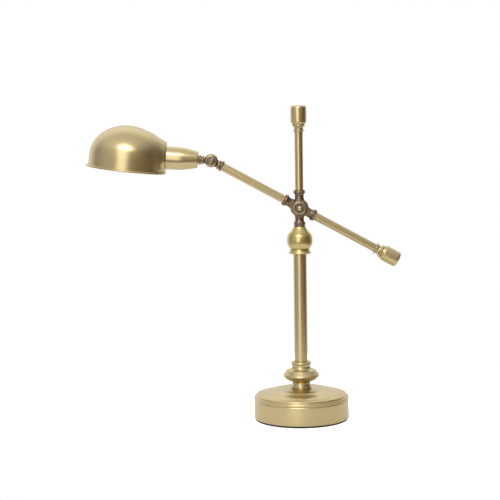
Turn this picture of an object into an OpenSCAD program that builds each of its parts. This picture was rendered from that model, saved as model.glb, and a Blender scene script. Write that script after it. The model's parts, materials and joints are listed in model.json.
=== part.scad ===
// Swing arm desk lamp: weighted round base, turned column, balanced arm on a cross joint,
// half-dome shade on a knuckle. Millimetres, +Z up, origin on the table under the column.

/* [Base] */
// Outer diameter of the base at its foot
base_d = 153; // [140:1:170]
// Height of the base's straight wall above the table
base_wall_h = 30.5; // [28:0.5:34]
// Thickness of the felt pad
felt_t = 3; // [2:0.5:4]
// Thickness of the spun metal shell
shell_t = 1.2; // [1:0.1:2]

/* [Column] */
// Outer diameter of the column tube
column_d = 21; // [19:0.5:22]
// Height of the foot of the ball above the table
ball_foot_z = 267.3; // [240:1:300]
// Diameter of the ball
ball_d = 41; // [39:0.5:43]

/* [Arm] */
// Outer diameter of the upper rod and of both arm tubes
tube_d = 13; // [12.6:0.1:13.2]
// Height of the arm above level, in degrees
arm_angle = 28.9; // [10:0.1:40]
// Distance from the arm's pivot to the knuckle
arm_reach = 159.3; // [140:0.1:200]
// Distance from the arm's pivot to the start of the tail's finial
tail_reach = 138.2; // [120:0.1:170]
// Distance from the arm's pivot to the start of the upper rod's finial
rod_reach = 121.2; // [100:0.1:150]

/* [Head] */
// Tilt of the socket cup above level, in degrees
head_angle = 4.5; // [-20:0.1:30]
// Outer diameter of the socket cup at the shade
cup_d = 36.6; // [36:0.1:38]
// Distance from the knuckle to the cup's mouth
cup_reach = 71.8; // [70:0.1:76]
// Outer diameter of the shade's wall
shade_d = 120.8; // [118:0.1:124]
// Height of the shade above its rim
shade_h = 70.9; // [68:0.1:74]
// Angle between the shade's axis and the square to the cup, in degrees
shade_cant = 2.8; // [0:0.1:4]

/* [Hidden] */
$fn = 96;
eps = 0.01;

// Fits
play = 0.05;        // radial play of every pin, pipe and tube in its bore
joint_gap = 0.3;    // air between faces that turn past each other

// Lamp pipe and internal leads
pipe_r = 4.8;
pipe_bore_r = 3.2;
lead_r = 2.2;
stud_r = 4.5;

// Heights up the column
base_top_z = 48.9;
inlet_z = 9;            // height of the hole for the mains lead
collar_top_z = 95.3;
tube_seat_z = 86;
ball_seam_z = ball_foot_z + 9.7;
ball_centre_z = ball_foot_z + 22.7;
cone_seam_z = ball_foot_z + 33.7;
cone_top_z = ball_foot_z + 45;
casting_foot_z = cone_top_z + joint_gap + 1;
pivot_z = casting_foot_z + 28.4;

// Column and rod
column_r = column_d / 2;
tube_r = tube_d / 2;
tube_wall = 1;

// Cross joint, measured from the pivot
neck_end = 28.4;        // outer face of each neck's collar
neck_lip_r = 9.8;
neck_waist_r = 7.1;
socket_depth = 6.2;     // how far a tube goes into its collar
front_hub_r = 12.5;
rear_hub_r = 14.5;
front_face = -0.6;      // mating face of the front hub
rear_face = 0.2;        // mating face of the rear hub
front_hub_y = -9.8;
rear_hub_y = 9.6;
sweep_r = 18.4;         // each casting is cut back this far where the other one's necks sweep
bolt_r = 3;
ring_nut_r = 10.4;
ring_nut_bore = 7.1;
ring_nut_t = 3.6;

// Finial, measured from the start of its disc
disc_t = 1.2;
disc_r = 10.5;
knob_start = 11.2;
finial_len = 41.2;

// Knuckle, measured from its pin
knuckle_r = 10.65;
knuckle_half_t = 5.6;
knuckle_face = 0.5;
knuckle_pin_r = 2.5;
arm_tube_end = 17.8;    // where the arm tube stops inside its collar
knuckle = [-arm_reach * cos(arm_angle), 0, pivot_z + arm_reach * sin(arm_angle)];

// Head
cup_r = cup_d / 2;
cup_start = 20.8;
cup_wall = 1.2;
holder_joint = cup_start + 29;      // where the two halves of the lamp holder meet
shell_start = cup_start + 30.2;     // the screw shell starts just past the centre contact
socket_r = 14;
thread_r = 13.15;
shell_wall = 0.4;
shade_r = shade_d / 2;
shade_wall = 1;
shade_straight = 20;        // height of the shade's straight wall
shade_reach = cup_reach + 61.5;
axis_height = 23.55;        // height of the cup's axis above the rim at the shade's axis
shade_lean = head_angle + shade_cant;
side_r = 24.8;              // radius of the shade's side neck at its end
side_spread = 0.5;          // growth of the side neck's radius per millimetre inward
side_len = 30;
shade_origin = knuckle
    + shade_reach * [-cos(head_angle), 0, sin(head_angle)]
    - axis_height * [sin(shade_lean), 0, cos(shade_lean)];

// ---------- Helpers ----------

// Points of a round stretch of an outline
function arc(c, r, from, to, steps = 8) =
    [for (i = [0 : steps]) c + r * [cos(from + (to - from) * i / steps),
                                    sin(from + (to - from) * i / steps)]];

// Solid turned about Z from an outline of [radius, height]
module turned(points) {
    rotate_extrude() polygon(points);
}

// Round bar from height a to height b
module bar(r, a, b) {
    translate([0, 0, a]) cylinder(r = r, h = b - a);
}

// Pipe from height a to height b
module pipe(r, bore, a, b) {
    difference() {
        bar(r, a, b);
        bar(bore, a - 1, b + 1);
    }
}

// Round bar along Y, from a to b
module cross_bar(r, a, b) {
    translate([0, b, 0]) rotate([90, 0, 0]) cylinder(r = r, h = b - a);
}

module cross_pipe(r, bore, a, b) {
    difference() {
        cross_bar(r, a, b);
        cross_bar(bore, a - 1, b + 1);
    }
}

// Hexagon nut about Z, af is its width across the flats
module hex_nut(af, bore, a, b) {
    difference() {
        translate([0, 0, a]) cylinder(d = af / cos(30), h = b - a, $fn = 6);
        bar(bore, a - 1, b + 1);
    }
}

// Frames whose +Z runs along the arm, the tail and the head, and up the shade's axis
module at_pivot() {
    translate([0, 0, pivot_z]) children();
}

module along_arm() {
    at_pivot() rotate([0, arm_angle - 90, 0]) children();
}

module along_tail() {
    at_pivot() rotate([0, arm_angle + 90, 0]) children();
}

module along_head() {
    translate(knuckle) rotate([0, head_angle - 90, 0]) children();
}

module from_knuckle_to_arm() {
    translate(knuckle) rotate([0, arm_angle + 90, 0]) children();
}

module in_shade() {
    translate(shade_origin) rotate([0, shade_lean, 0]) children();
}

// ---------- Base ----------

module felt_pad() {
    color([0.13, 0.12, 0.10]) bar(base_d / 2 - 2, 0, felt_t);
}

module base_weight() {
    weight_r = base_d / 2 - 4.5;
    boss_r = 18;
    channel_w = 9;
    recess_h = 10;
    bottom = felt_t + 0.1;
    color([0.25, 0.25, 0.26]) difference() {
        union() {
            bar(weight_r, bottom, bottom + 17);
            bar(boss_r, bottom, base_top_z - shell_t);
        }
        bar(pipe_r + play, 0, base_top_z);
        bar(15, 0, bottom + recess_h);
        translate([-channel_w / 2, 0, 0]) cube([channel_w, base_d, bottom + recess_h]);
    }
}

// Outline of the base from its foot over the bead and the ridge to the flat round the column
function base_outline(foot) = concat(
    [[0, foot], [base_d / 2, foot], [base_d / 2 - 0.9, base_wall_h]],
    arc([base_d / 2 - 2.7, base_wall_h + 3.5], 2.6, -50, 80),
    [[base_d / 2 - 3.1, base_wall_h + 6.4]],
    arc([base_d / 2 - 5.3, base_wall_h + 8], 1.7, -10, 120),
    [[base_d / 2 - 8, base_wall_h + 9.4], [60, 43.5], [50, 45.4], [46, 46.4], [42, 48],
     [38, 48.7], [32, base_top_z], [0, base_top_z]]
);

module base_shell() {
    color([0.72, 0.63, 0.42]) difference() {
        turned(base_outline(felt_t + 0.1));
        translate([0, 0, -shell_t]) turned([for (p = base_outline(felt_t)) [max(p.x - shell_t, 0), p.y]]);
        bar(pipe_r + play, base_top_z - 5, base_top_z + 5);
        translate([0, 0, inlet_z]) cross_bar(4.5, 50, base_d);
    }
}

module base_nut() {
    color([0.6, 0.6, 0.58]) hex_nut(14, pipe_r + play, felt_t + 5.5, felt_t + 8.8);
}

module base_washer() {
    color([0.62, 0.62, 0.6]) pipe(12, pipe_r + play, felt_t + 8.8, felt_t + 10.1);
}

// Bush that lines the hole where the mains lead enters the back of the base
module cord_grommet() {
    wall_y = base_d / 2 + 0.1;
    color([0.1, 0.1, 0.1]) translate([0, 0, inlet_z]) difference() {
        union() {
            cross_bar(4.4, wall_y - 4, wall_y + 0.5);
            cross_bar(6, wall_y, wall_y + 1.8);
            cross_bar(6, wall_y - 4, wall_y - 2.2);
        }
        cross_bar(3.4, wall_y - 6, wall_y + 4);
    }
}

// ---------- Column ----------

module base_collar() {
    color([0.72, 0.62, 0.40]) difference() {
        turned(concat(
            [[0, base_top_z], [15.2, base_top_z], [15.6, 50.6]],
            arc([15, 52.6], 1.5, -50, 60),
            [[14.6, 57], [14.3, 59.2], [15, 61.2], [17.6, 62.4], [22, 63.8], [25.2, 66.2],
             [29.2, 70.8], [29.4, 71.8], [28.9, 73], [24.6, 78]],
            arc([22.2, 77.4], 2.7, 20, 85, 5),
            [[17.6, 81.6], [15.6, 83.6], [14.9, 86.4], [15.2, 88.3]],
            arc([14.2, 91.6], 2.3, -50, 90),
            [[0, collar_top_z]]
        ));
        bar(pipe_r + play, 0, tube_seat_z + 1);
        bar(column_r + play, tube_seat_z, collar_top_z + 1);
    }
}

module column_tube() {
    color([0.70, 0.60, 0.40]) pipe(column_r, column_r - 1.2, tube_seat_z, ball_foot_z + 2.5);
}

module lamp_pipe() {
    color([0.55, 0.52, 0.45]) pipe(pipe_r, pipe_bore_r, felt_t + 2, ball_foot_z + 23);
}

module ball_foot() {
    color([0.72, 0.62, 0.38]) difference() {
        turned([
            [0, ball_foot_z], [11.4, ball_foot_z], [17.6, ball_foot_z + 1.6],
            [18.1, ball_foot_z + 2.4], [17.6, ball_foot_z + 3.2], [16.4, ball_foot_z + 4.8],
            [15.6, ball_foot_z + 6.8], [15.3, ball_foot_z + 9], [15, ball_seam_z], [0, ball_seam_z]
        ]);
        bar(pipe_r + play, 0, pivot_z);
        bar(column_r + play, 0, ball_foot_z + 2.5);
    }
}

module ball_body() {
    ball_r = ball_d / 2;
    low = asin((ball_seam_z - ball_centre_z) / ball_r);
    high = asin((cone_seam_z - ball_centre_z) / ball_r);
    color([0.74, 0.65, 0.36]) difference() {
        turned(concat(
            [[0, ball_seam_z]],
            arc([0, ball_centre_z], ball_r, low, high, 24),
            [[0, cone_seam_z]]
        ));
        bar(pipe_r + play, 0, pivot_z);
        bar(9, ball_foot_z + 16.7, pivot_z);
    }
}

module ball_cone() {
    color([0.74, 0.65, 0.38]) difference() {
        union() {
            turned([
                [0, cone_seam_z], [16.6, cone_seam_z], [15.8, cone_seam_z + 1.2],
                [13.2, cone_seam_z + 4.6], [11.1, cone_seam_z + 7.6], [9.4, cone_top_z - 0.8],
                [8.9, cone_top_z], [0, cone_top_z]
            ]);
            bar(8.9, cone_seam_z - 4, cone_seam_z + eps);
        }
        bar(stud_r + play, 0, pivot_z);
    }
}

module pipe_nut() {
    color([0.6, 0.58, 0.5]) hex_nut(14, pipe_r + play, ball_foot_z + 16.7, ball_foot_z + 20);
}

module column_lead() {
    color([0.85, 0.83, 0.78]) bar(lead_r, felt_t + 1, casting_foot_z + 12.4);
}

// ---------- Swivel and cross joint ----------

module swivel_stud() {
    color([0.6, 0.58, 0.5]) pipe(stud_r, 3, ball_foot_z + 25.4, casting_foot_z + 6);
}

module swivel_nut() {
    color([0.6, 0.58, 0.5]) hex_nut(12.5, stud_r + play, ball_foot_z + 26.2, ball_foot_z + 29.4);
}

module swivel_washer() {
    color([0.55, 0.50, 0.42]) pipe(9.2, stud_r + play, casting_foot_z - 1, casting_foot_z);
}

// One neck of a cross casting, turned about Z from the hub out to its flared collar
module neck(bore, depth) {
    difference() {
        turned(concat(
            [[0, 0], [9.2, 0], [9.2, 9], [8.2, 12], [7.4, 15], [neck_waist_r, 17.5],
             [neck_waist_r, 20], [7.6, 21.6]],
            arc([neck_lip_r - 1.7, neck_end - 3.1], 1.7, -60, 70, 6),
            [[8.9, neck_end], [0, neck_end]]
        ));
        bar(bore, neck_end - depth, neck_end + 1);
    }
}

// A cross casting about the pivot: two opposite necks on Z and a hub on Y
module cross_casting(hub_r, hub_from, hub_to, cut_from, cut_to, bore_up, bore_down) {
    difference() {
        union() {
            neck(bore_up, socket_depth);
            mirror([0, 0, 1]) neck(bore_down, socket_depth);
            cross_bar(hub_r, hub_from, hub_to);
        }
        cross_bar(sweep_r, cut_from, cut_to);
        cross_bar(bolt_r + play, -30, 30);
        bar(3.1, -neck_end - 1, -5);
        bar(3.1, 5, neck_end + 1);
    }
}

module column_casting() {
    color([0.50, 0.38, 0.27]) at_pivot()
        cross_casting(front_hub_r, front_hub_y, front_face, front_face, 20,
                      tube_r + play, stud_r + play);
}

module upper_rod() {
    color([0.72, 0.62, 0.42]) at_pivot()
        pipe(tube_r, tube_r - tube_wall, neck_end - socket_depth, rod_reach);
}

module pivot_bolt() {
    head_y = front_hub_y - 3.6;
    color([0.78, 0.70, 0.45]) at_pivot() {
        cross_bar(bolt_r, front_hub_y - 2, rear_hub_y + 5);
        intersection() {
            translate([0, head_y, 0]) sphere(r = 4.4);
            cross_bar(6, head_y - 5, front_hub_y - 1);
        }
    }
}

module bolt_washer() {
    color([0.35, 0.28, 0.2]) at_pivot() cross_pipe(6.6, bolt_r + play, front_hub_y - 1, front_hub_y);
}

module ring_nut() {
    slot_w = 1.3;
    color([0.46, 0.36, 0.26]) at_pivot() difference() {
        rotate([90, 0, 0]) translate([0, 0, -front_hub_y]) difference() {
            turned([
                [0, 0], [ring_nut_r, 0], [ring_nut_r, 1.8], [9.9, 3], [9, ring_nut_t],
                [8.2, ring_nut_t], [ring_nut_bore, 2.6], [0, 2.6]
            ]);
            bar(ring_nut_bore, -1, 5);
        }
        rotate([0, 40, 0]) translate([-slot_w / 2, front_hub_y - 5, -20]) cube([slot_w, 4.4, 20]);
    }
}

module hub_washer() {
    color([0.5, 0.46, 0.4]) at_pivot() cross_pipe(7, bolt_r + play, front_face, front_face + 0.5);
}

module spring_washer() {
    color([0.5, 0.48, 0.44]) at_pivot()
        cross_pipe(6.4, bolt_r + play, rear_hub_y + joint_gap, rear_hub_y + 1.2);
}

module cap_nut() {
    start = rear_hub_y + 1.2;
    color([0.70, 0.60, 0.38]) at_pivot() rotate([-90, 0, 0]) difference() {
        union() {
            translate([0, 0, start]) cylinder(d = 13, h = 4.4, $fn = 6);
            intersection() {
                translate([0, 0, start + 3.6]) sphere(r = 5.3);
                bar(6, start + 3, start + 10);
            }
        }
        bar(bolt_r + play, start - 1, rear_hub_y + 5.2);
    }
}

module arm_casting() {
    color([0.44, 0.33, 0.24]) along_arm()
        cross_casting(rear_hub_r, rear_face, rear_hub_y, -20, rear_face,
                      tube_r + play, tube_r + play);
}

module arm_tube() {
    color([0.74, 0.64, 0.44]) along_arm()
        pipe(tube_r, tube_r - tube_wall, neck_end - socket_depth, arm_reach - arm_tube_end);
}

module tail_tube() {
    color([0.74, 0.64, 0.44]) along_tail()
        pipe(tube_r, tube_r - tube_wall, neck_end - socket_depth, tail_reach);
}

module arm_lead() {
    color([0.85, 0.83, 0.78]) along_arm() bar(lead_r, 17, arm_reach - 21.5);
}

// ---------- Finials, on +Z from the start of the disc ----------

module finial_disc() {
    color([0.68, 0.66, 0.62]) pipe(disc_r, 3 + play, 0, disc_t);
}

module finial_ferrule() {
    color([0.66, 0.56, 0.36]) {
        turned(concat(
            [[0, disc_t], [7.3, disc_t]],
            arc([6.9, 2.6], 1, -60, 60, 5),
            [[7.2, 4.2], [7.3, 5.4], [8, 7], [9.4, 8.3]],
            arc([9.2, 9.6], 1.2, -50, 60, 5),
            [[9.4, knob_start], [0, knob_start]]
        ));
        bar(3, -6, disc_t + eps);
    }
}

module finial_knob() {
    color([0.74, 0.65, 0.42]) turned(concat(
        [[0, knob_start], [10, knob_start], [10.6, knob_start + 0.8]],
        arc([8.9, knob_start + 5], 3.6, -50, 0, 5),
        [[12.7, knob_start + 14], [12.6, knob_start + 21]],
        arc([8.5, finial_len - 4], 4, 0, 80, 8),
        [[0, finial_len]]
    ));
}

module upper_frame() {
    at_pivot() translate([0, 0, rod_reach]) children();
}

module tail_frame() {
    along_tail() translate([0, 0, tail_reach]) children();
}

module upper_disc() {
    upper_frame() finial_disc();
}

module upper_ferrule() {
    upper_frame() finial_ferrule();
}

module upper_knob() {
    upper_frame() finial_knob();
}

module tail_disc() {
    tail_frame() finial_disc();
}

module tail_ferrule() {
    tail_frame() finial_ferrule();
}

module tail_knob() {
    tail_frame() difference() {
        finial_knob();
        color([0.74, 0.65, 0.42]) bar(2, finial_len - 2, finial_len + 1);
    }
}

// Small plug set in the end of the tail's knob
module tail_plug() {
    color([0.2, 0.17, 0.12]) tail_frame() bar(1.95, finial_len - 2, finial_len - 0.4);
}

// ---------- Knuckle ----------

module arm_collar() {
    color([0.46, 0.36, 0.26]) from_knuckle_to_arm() difference() {
        turned([
            [0, 15.6], [6.4, 15.6], [6.4, 16.6], [8, 16.9], [8.6, 17.7], [8.6, 19.9], [8, 20.7],
            [0, 20.7]
        ]);
        bar(tube_r + play, arm_tube_end, 21);
        bar(3.2, 0, 21);
    }
}

module knuckle_arm_half() {
    color([0.50, 0.40, 0.30]) from_knuckle_to_arm() difference() {
        union() {
            cross_bar(knuckle_r, 0.2, knuckle_half_t + 0.4);
            intersection() {
                turned([
                    [0, 0], [6.2, 0], [6.2, 9.6], [5.4, 11], [6.4, 12], [7.6, 12.4], [8, 13.4],
                    [7.6, 15], [6, 15.6], [0, 15.6]
                ]);
                difference() {
                    translate([-20, -20, -1]) cube(40);
                    cross_bar(knuckle_r + 0.5, -20, 0.2);
                }
            }
        }
        cross_bar(knuckle_pin_r + play, -20, 20);
        bar(2.6, 5, 21);
    }
}

module knuckle_head_half() {
    color([0.62, 0.52, 0.38]) along_head() difference() {
        union() {
            rotate([90, 0, 0]) turned([
                [0, knuckle_face], [knuckle_r, knuckle_face], [knuckle_r, 4.6], [10, 5.8],
                [8.8, 6.3], [7.6, 6.3], [0, 6.3]
            ]);
            intersection() {
                union() {
                    bar(5.6, 0, 9.2);
                    bar(4.4, 0, 26.5);
                }
                difference() {
                    translate([-20, -20, -1]) cube(40);
                    cross_bar(knuckle_r + 0.5, -knuckle_face, 20);
                }
            }
        }
        cross_bar(6.3, -8, -5);
        cross_bar(knuckle_pin_r + play, -20, 20);
        bar(2.6, 5, 30);
    }
}

module knuckle_screw() {
    slot_w = 1.2;
    color([0.42, 0.38, 0.34]) translate(knuckle) difference() {
        union() {
            cross_bar(6.1, -6.1, -5);
            cross_bar(knuckle_pin_r, -5.5, 8.8);
        }
        rotate([0, 35, 0]) translate([-slot_w / 2, -7, -8]) cube([slot_w, 1.5, 16]);
    }
}

module knuckle_washer() {
    color([0.5, 0.46, 0.4]) translate(knuckle)
        cross_pipe(6, knuckle_pin_r + play, -knuckle_face, -knuckle_face + 0.4);
}

module knuckle_nut() {
    start = knuckle_half_t + 0.4 + joint_gap;
    color([0.55, 0.45, 0.3]) translate(knuckle) rotate([-90, 0, 0]) difference() {
        translate([0, 0, start]) cylinder(d = 9.4, h = 3.2, $fn = 6);
        bar(knuckle_pin_r + play, start - 1, start + 2.7);
    }
}

// ---------- Head ----------

module ribbed_neck() {
    color([0.52, 0.42, 0.3]) along_head() difference() {
        turned(concat(
            [[0, 9.2], [5.2, 9.2]],
            arc([5, 10.4], 0.9, -60, 60, 4),
            [[4.9, 11.7]],
            arc([5.9, 13.4], 1.2, -60, 60, 4),
            [[5.6, 15.2]],
            arc([6.4, 17.6], 1.6, -60, 60, 4),
            [[6.2, 19.6], [6.6, cup_start], [0, cup_start]]
        ));
        bar(4.4 + play, 0, 30);
        cross_bar(knuckle_r, -20, 20);
        cross_bar(knuckle_r + 0.5, -knuckle_face, 20);
    }
}

module cup_nut() {
    color([0.6, 0.58, 0.5]) along_head() hex_nut(12, 4.4 + play, cup_start + 1.6, cup_start + 4.4);
}

module socket_cup() {
    outline = [[12.4, cup_start], [13, cup_start + 0.6], [14.9, cup_start + 9], [16.5, cup_start + 17],
               [17.7, cup_start + 24], [18.1, cup_start + 28], [cup_r - 0.1, cup_start + 32]];
    color([0.74, 0.65, 0.42]) along_head() difference() {
        turned(concat([[0, cup_start]], outline, [[cup_r, cup_reach], [0, cup_reach]]));
        turned(concat(
            [[0, cup_start + 1.6], [11.6, cup_start + 1.6]],
            [for (p = outline) if (p.y > cup_start + 2) [p.x - cup_wall, p.y]],
            [[cup_r - cup_wall, cup_reach + 1], [0, cup_reach + 1]]
        ));
        bar(4.4 + play, 0, 30);
    }
}

// Lower half of the lamp holder, which carries its contact and its terminals
module socket_base() {
    color([0.12, 0.11, 0.1]) along_head() difference() {
        bar(14.2, cup_start + 13, holder_joint);
        bar(3.4, cup_start + 12, cup_start + 30);
        for (side = [-1, 1]) translate([0, side * 9, 0]) bar(1.6, cup_start + 12, cup_start + 25);
    }
}

// Skirt of the lamp holder, round its screw shell
module socket_sleeve() {
    color([0.12, 0.11, 0.1]) along_head() difference() {
        union() {
            bar(16.6, holder_joint, cup_reach - 0.3);
            bar(socket_r, cup_reach - 1, cup_reach + 11);
        }
        bar(thread_r + shell_wall + play, holder_joint - 1, cup_reach + 12);
    }
}

module screw_shell() {
    color([0.80, 0.66, 0.36]) along_head()
        pipe(thread_r + shell_wall, thread_r, shell_start, cup_reach + 10);
}

module centre_contact() {
    color([0.80, 0.60, 0.30]) along_head() {
        bar(3.3, cup_start + 24, cup_start + 29.2);
        bar(5, cup_start + 29.2, cup_start + 30);
    }
}

module terminal_screws() {
    color([0.62, 0.6, 0.55]) along_head() for (side = [-1, 1]) translate([0, side * 9, 0]) {
        bar(1.55, cup_start + 11, cup_start + 24);
        bar(2.8, cup_start + 11, cup_start + 12.9);
    }
}

module head_lead() {
    color([0.85, 0.83, 0.78]) along_head() bar(lead_r, 14, cup_start + 23);
}

module shade_ring() {
    ring_from = cup_reach + 1.4;
    color([0.14, 0.13, 0.12]) along_head() difference() {
        pipe(19, socket_r + play, ring_from, ring_from + 5);
        for (turn = [0 : 30 : 330]) rotate([0, 0, turn])
            translate([19.4, 0, 0]) bar(1.6, ring_from - 1, ring_from + 6);
    }
}

// Half-dome with a straight wall, as a solid of the given radius and height
module dome(r, top, bottom) {
    steps = 20;
    turned(concat(
        [[0, bottom], [r, bottom]],
        [for (i = [0 : steps - 1])
            [r * cos(90 * i / steps), shade_straight + (top - shade_straight) * sin(90 * i / steps)]],
        [[0, top]]
    ));
}

// Side neck of the shade, widening inward from the cup's mouth
module side_neck(inset) {
    end_r = side_r - inset;
    along_head() turned([
        [0, cup_reach + inset], [end_r - 2, cup_reach + inset], [end_r - 0.6, cup_reach + inset + 0.5],
        [end_r, cup_reach + inset + 1.6], [end_r + side_spread * side_len, cup_reach + inset + side_len],
        [0, cup_reach + inset + side_len]
    ]);
}

module shade() {
    rim_h = 3.4;
    lip_r = shade_r + 3.5;
    color([0.75, 0.67, 0.46]) difference() {
        union() {
            in_shade() dome(shade_r, shade_h, rim_h - 1.2);
            in_shade() turned(concat(
                [[shade_r - shade_wall - 0.6, 0.6], [shade_r + 1, 0]],
                arc([lip_r - 1.6, 1.6], 1.6, -80, 60, 8),
                [[shade_r + 0.2, rim_h], [shade_r - shade_wall - 0.6, rim_h]]
            ));
            intersection() {
                side_neck(0);
                in_shade() bar(shade_r + 10, rim_h - 1, shade_h);
            }
        }
        in_shade() dome(shade_r - shade_wall, shade_h - shade_wall, -1);
        intersection() {
            side_neck(1.2);
            in_shade() bar(shade_r + 10, rim_h, shade_h);
        }
        along_head() bar(socket_r + 0.2, cup_reach - 2, cup_reach + 12);
    }
}

felt_pad();
base_weight();
base_shell();
base_nut();
base_washer();
cord_grommet();
base_collar();
column_tube();
lamp_pipe();
ball_foot();
ball_body();
ball_cone();
pipe_nut();
column_lead();
swivel_stud();
swivel_nut();
swivel_washer();
column_casting();
upper_rod();
upper_disc();
upper_ferrule();
upper_knob();
pivot_bolt();
bolt_washer();
ring_nut();
hub_washer();
spring_washer();
cap_nut();
arm_casting();
arm_tube();
tail_tube();
tail_disc();
tail_ferrule();
tail_knob();
tail_plug();
arm_lead();
arm_collar();
knuckle_arm_half();
knuckle_head_half();
knuckle_screw();
knuckle_washer();
knuckle_nut();
ribbed_neck();
cup_nut();
socket_cup();
socket_base();
socket_sleeve();
screw_shell();
centre_contact();
terminal_screws();
head_lead();
shade_ring();
shade();
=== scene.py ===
"""Looks of the swing arm desk lamp, built round its CAD frame: spun and turned brass, bronze castings, felt.

Outlines are in millimetres, as [radius, height] along the axis that a piece is turned about.
"""

import json
import logging
import math
from collections.abc import Sequence
from dataclasses import dataclass
from enum import Enum
from functools import cache

import bmesh
import bpy
from mathutils import Matrix, Vector


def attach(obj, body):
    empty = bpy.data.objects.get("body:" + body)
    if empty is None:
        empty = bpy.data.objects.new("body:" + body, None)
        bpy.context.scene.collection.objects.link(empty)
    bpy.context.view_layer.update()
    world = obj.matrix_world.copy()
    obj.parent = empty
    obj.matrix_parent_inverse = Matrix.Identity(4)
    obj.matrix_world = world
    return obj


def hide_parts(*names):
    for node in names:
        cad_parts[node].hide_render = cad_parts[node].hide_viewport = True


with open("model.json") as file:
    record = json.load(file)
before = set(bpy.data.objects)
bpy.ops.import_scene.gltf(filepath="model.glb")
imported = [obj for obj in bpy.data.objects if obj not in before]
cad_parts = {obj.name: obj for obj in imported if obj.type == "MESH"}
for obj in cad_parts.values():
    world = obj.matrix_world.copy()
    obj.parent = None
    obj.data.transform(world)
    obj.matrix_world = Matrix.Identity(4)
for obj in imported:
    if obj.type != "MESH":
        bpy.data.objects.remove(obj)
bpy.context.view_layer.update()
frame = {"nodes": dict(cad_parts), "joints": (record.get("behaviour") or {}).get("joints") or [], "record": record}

MM = 0.001
UP = Vector((0, 0, 1))
ACROSS = Vector((0, 1, 0))
SIDES = 144
ROUNDING_STEPS = 5
SHARP_ANGLE = math.radians(36)
CASTING_SHARP_ANGLE = math.radians(65)

log = logging.getLogger("lamp")

Point = Sequence[float]
Outline = list[tuple[float, float]]
Colour = tuple[float, float, float]


class Body(Enum):
    """The CAD bodies that pieces ride on."""

    STAND = "stand"
    UPPER = "upper"
    ARM = "arm"
    HEAD = "head"


# ---------- Reading the frame ----------


def joint_place(name: str) -> Vector:
    """Finds where a joint of the lamp turns.

    Args:
        name: The joint's name.

    Returns:
        A point on its axis, in metres.
    """
    joint = next(j for j in frame["joints"] if j["name"] == name)
    return Vector(joint["pos_m"])


def mount_axis(name: str) -> Vector:
    """Finds which way a mount of the lamp points.

    Args:
        name: The mount's name.

    Returns:
        Its unit axis.
    """
    mount = next(m for m in frame["record"]["mounts"] if m["name"] == name)
    return Vector(mount["axis"]).normalized()


def span(node: str, place: Matrix) -> tuple[float, float]:
    """Measures a CAD node along the Z axis of a place.

    Args:
        node: The CAD node's name.
        place: The place whose Z axis is measured along.

    Returns:
        Where the node starts and ends, in millimetres.
    """
    inverse = place.inverted()
    heights = [(inverse @ v.co).z / MM for v in frame["nodes"][node].data.vertices]
    return min(heights), max(heights)


def along(direction: Vector, origin: Vector) -> Matrix:
    """Makes a place whose Z runs along a direction and whose Y stays across the lamp.

    Args:
        direction: Where Z points; it lies in the lamp's XZ plane.
        origin: The place's origin, in metres.

    Returns:
        The place as a matrix.
    """
    side = ACROSS.cross(direction).normalized()
    return Matrix.Translation(origin) @ Matrix((side, ACROSS, direction.normalized())).transposed().to_4x4()


def facing(direction: Vector, origin: Vector) -> Matrix:
    """Makes a place whose Z points along or against Y, for pieces turned about a cross axis.

    Args:
        direction: Where Z points, along or against Y.
        origin: The place's origin, in metres.

    Returns:
        The place as a matrix.
    """
    return Matrix.Translation(origin) @ Matrix((UP.cross(direction), UP, direction)).transposed().to_4x4()


def raised(place: Matrix, height: float) -> Matrix:
    """Moves a place up its own Z axis by a height in millimetres."""
    return place @ Matrix.Translation((0, 0, height * MM))


COLUMN = Matrix.Identity(4)
PIVOT = joint_place("arm_pivot")
KNUCKLE = joint_place("head_tilt")
ARM_AXIS = (KNUCKLE - PIVOT).normalized()
HEAD_AXIS = mount_axis("bulb_socket")

# ---------- Outlines ----------


def arc(centre: Point, radius: float, start: float, end: float, steps: int = 12) -> Outline:
    """Rounds a stretch of an outline.

    Args:
        centre: The arc's centre.
        radius: The arc's radius.
        start: Where it starts, in degrees from straight out.
        end: Where it ends, in degrees.
        steps: How many parts it has.

    Returns:
        The points of the arc.
    """
    turns = [math.radians(start + (end - start) * i / steps) for i in range(steps + 1)]
    return [(centre[0] + radius * math.cos(t), centre[1] + radius * math.sin(t)) for t in turns]


def softened(points: Sequence[Point], closed: bool = False) -> Outline:
    """Rounds each corner that has a third number, its softness in millimetres.

    Args:
        points: Corners as (radius, height) or (radius, height, softness).
        closed: Whether the last corner joins the first.

    Returns:
        The outline with its rounded corners.
    """
    outline: Outline = []
    for i, corner in enumerate(points):
        here = Vector(corner[:2])
        inside = closed or 0 < i < len(points) - 1
        if len(corner) < 3 or not inside:
            outline.append((here.x, here.y))
            continue
        before = Vector(points[i - 1][:2]) - here
        after = Vector(points[(i + 1) % len(points)][:2]) - here
        cut = min(corner[2], 0.45 * before.length, 0.45 * after.length)
        first, last = here + before.normalized() * cut, here + after.normalized() * cut
        for step in range(ROUNDING_STEPS + 1):
            t = step / ROUNDING_STEPS
            spot = first * (1 - t) ** 2 + here * 2 * t * (1 - t) + last * t**2
            outline.append((spot.x, spot.y))
    return outline


def held_flat(outline: Outline, closed: bool = False) -> Outline:
    """Adds points near the ends of each long straight stretch, so that smooth shading keeps it flat.

    Args:
        outline: The outline to work on.
        closed: Whether its last point joins its first.

    Returns:
        The outline with the added points.
    """
    margin, shortest = 0.25, 1.0
    result: Outline = []
    count = len(outline)
    for i, point in enumerate(outline):
        result.append(point)
        if i == count - 1 and not closed:
            break
        a, b = Vector(point), Vector(outline[(i + 1) % count])
        length = (b - a).length
        if length > shortest:
            result += [tuple(a.lerp(b, margin / length)), tuple(a.lerp(b, 1 - margin / length))]
    return result


# ---------- Meshes ----------


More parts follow.
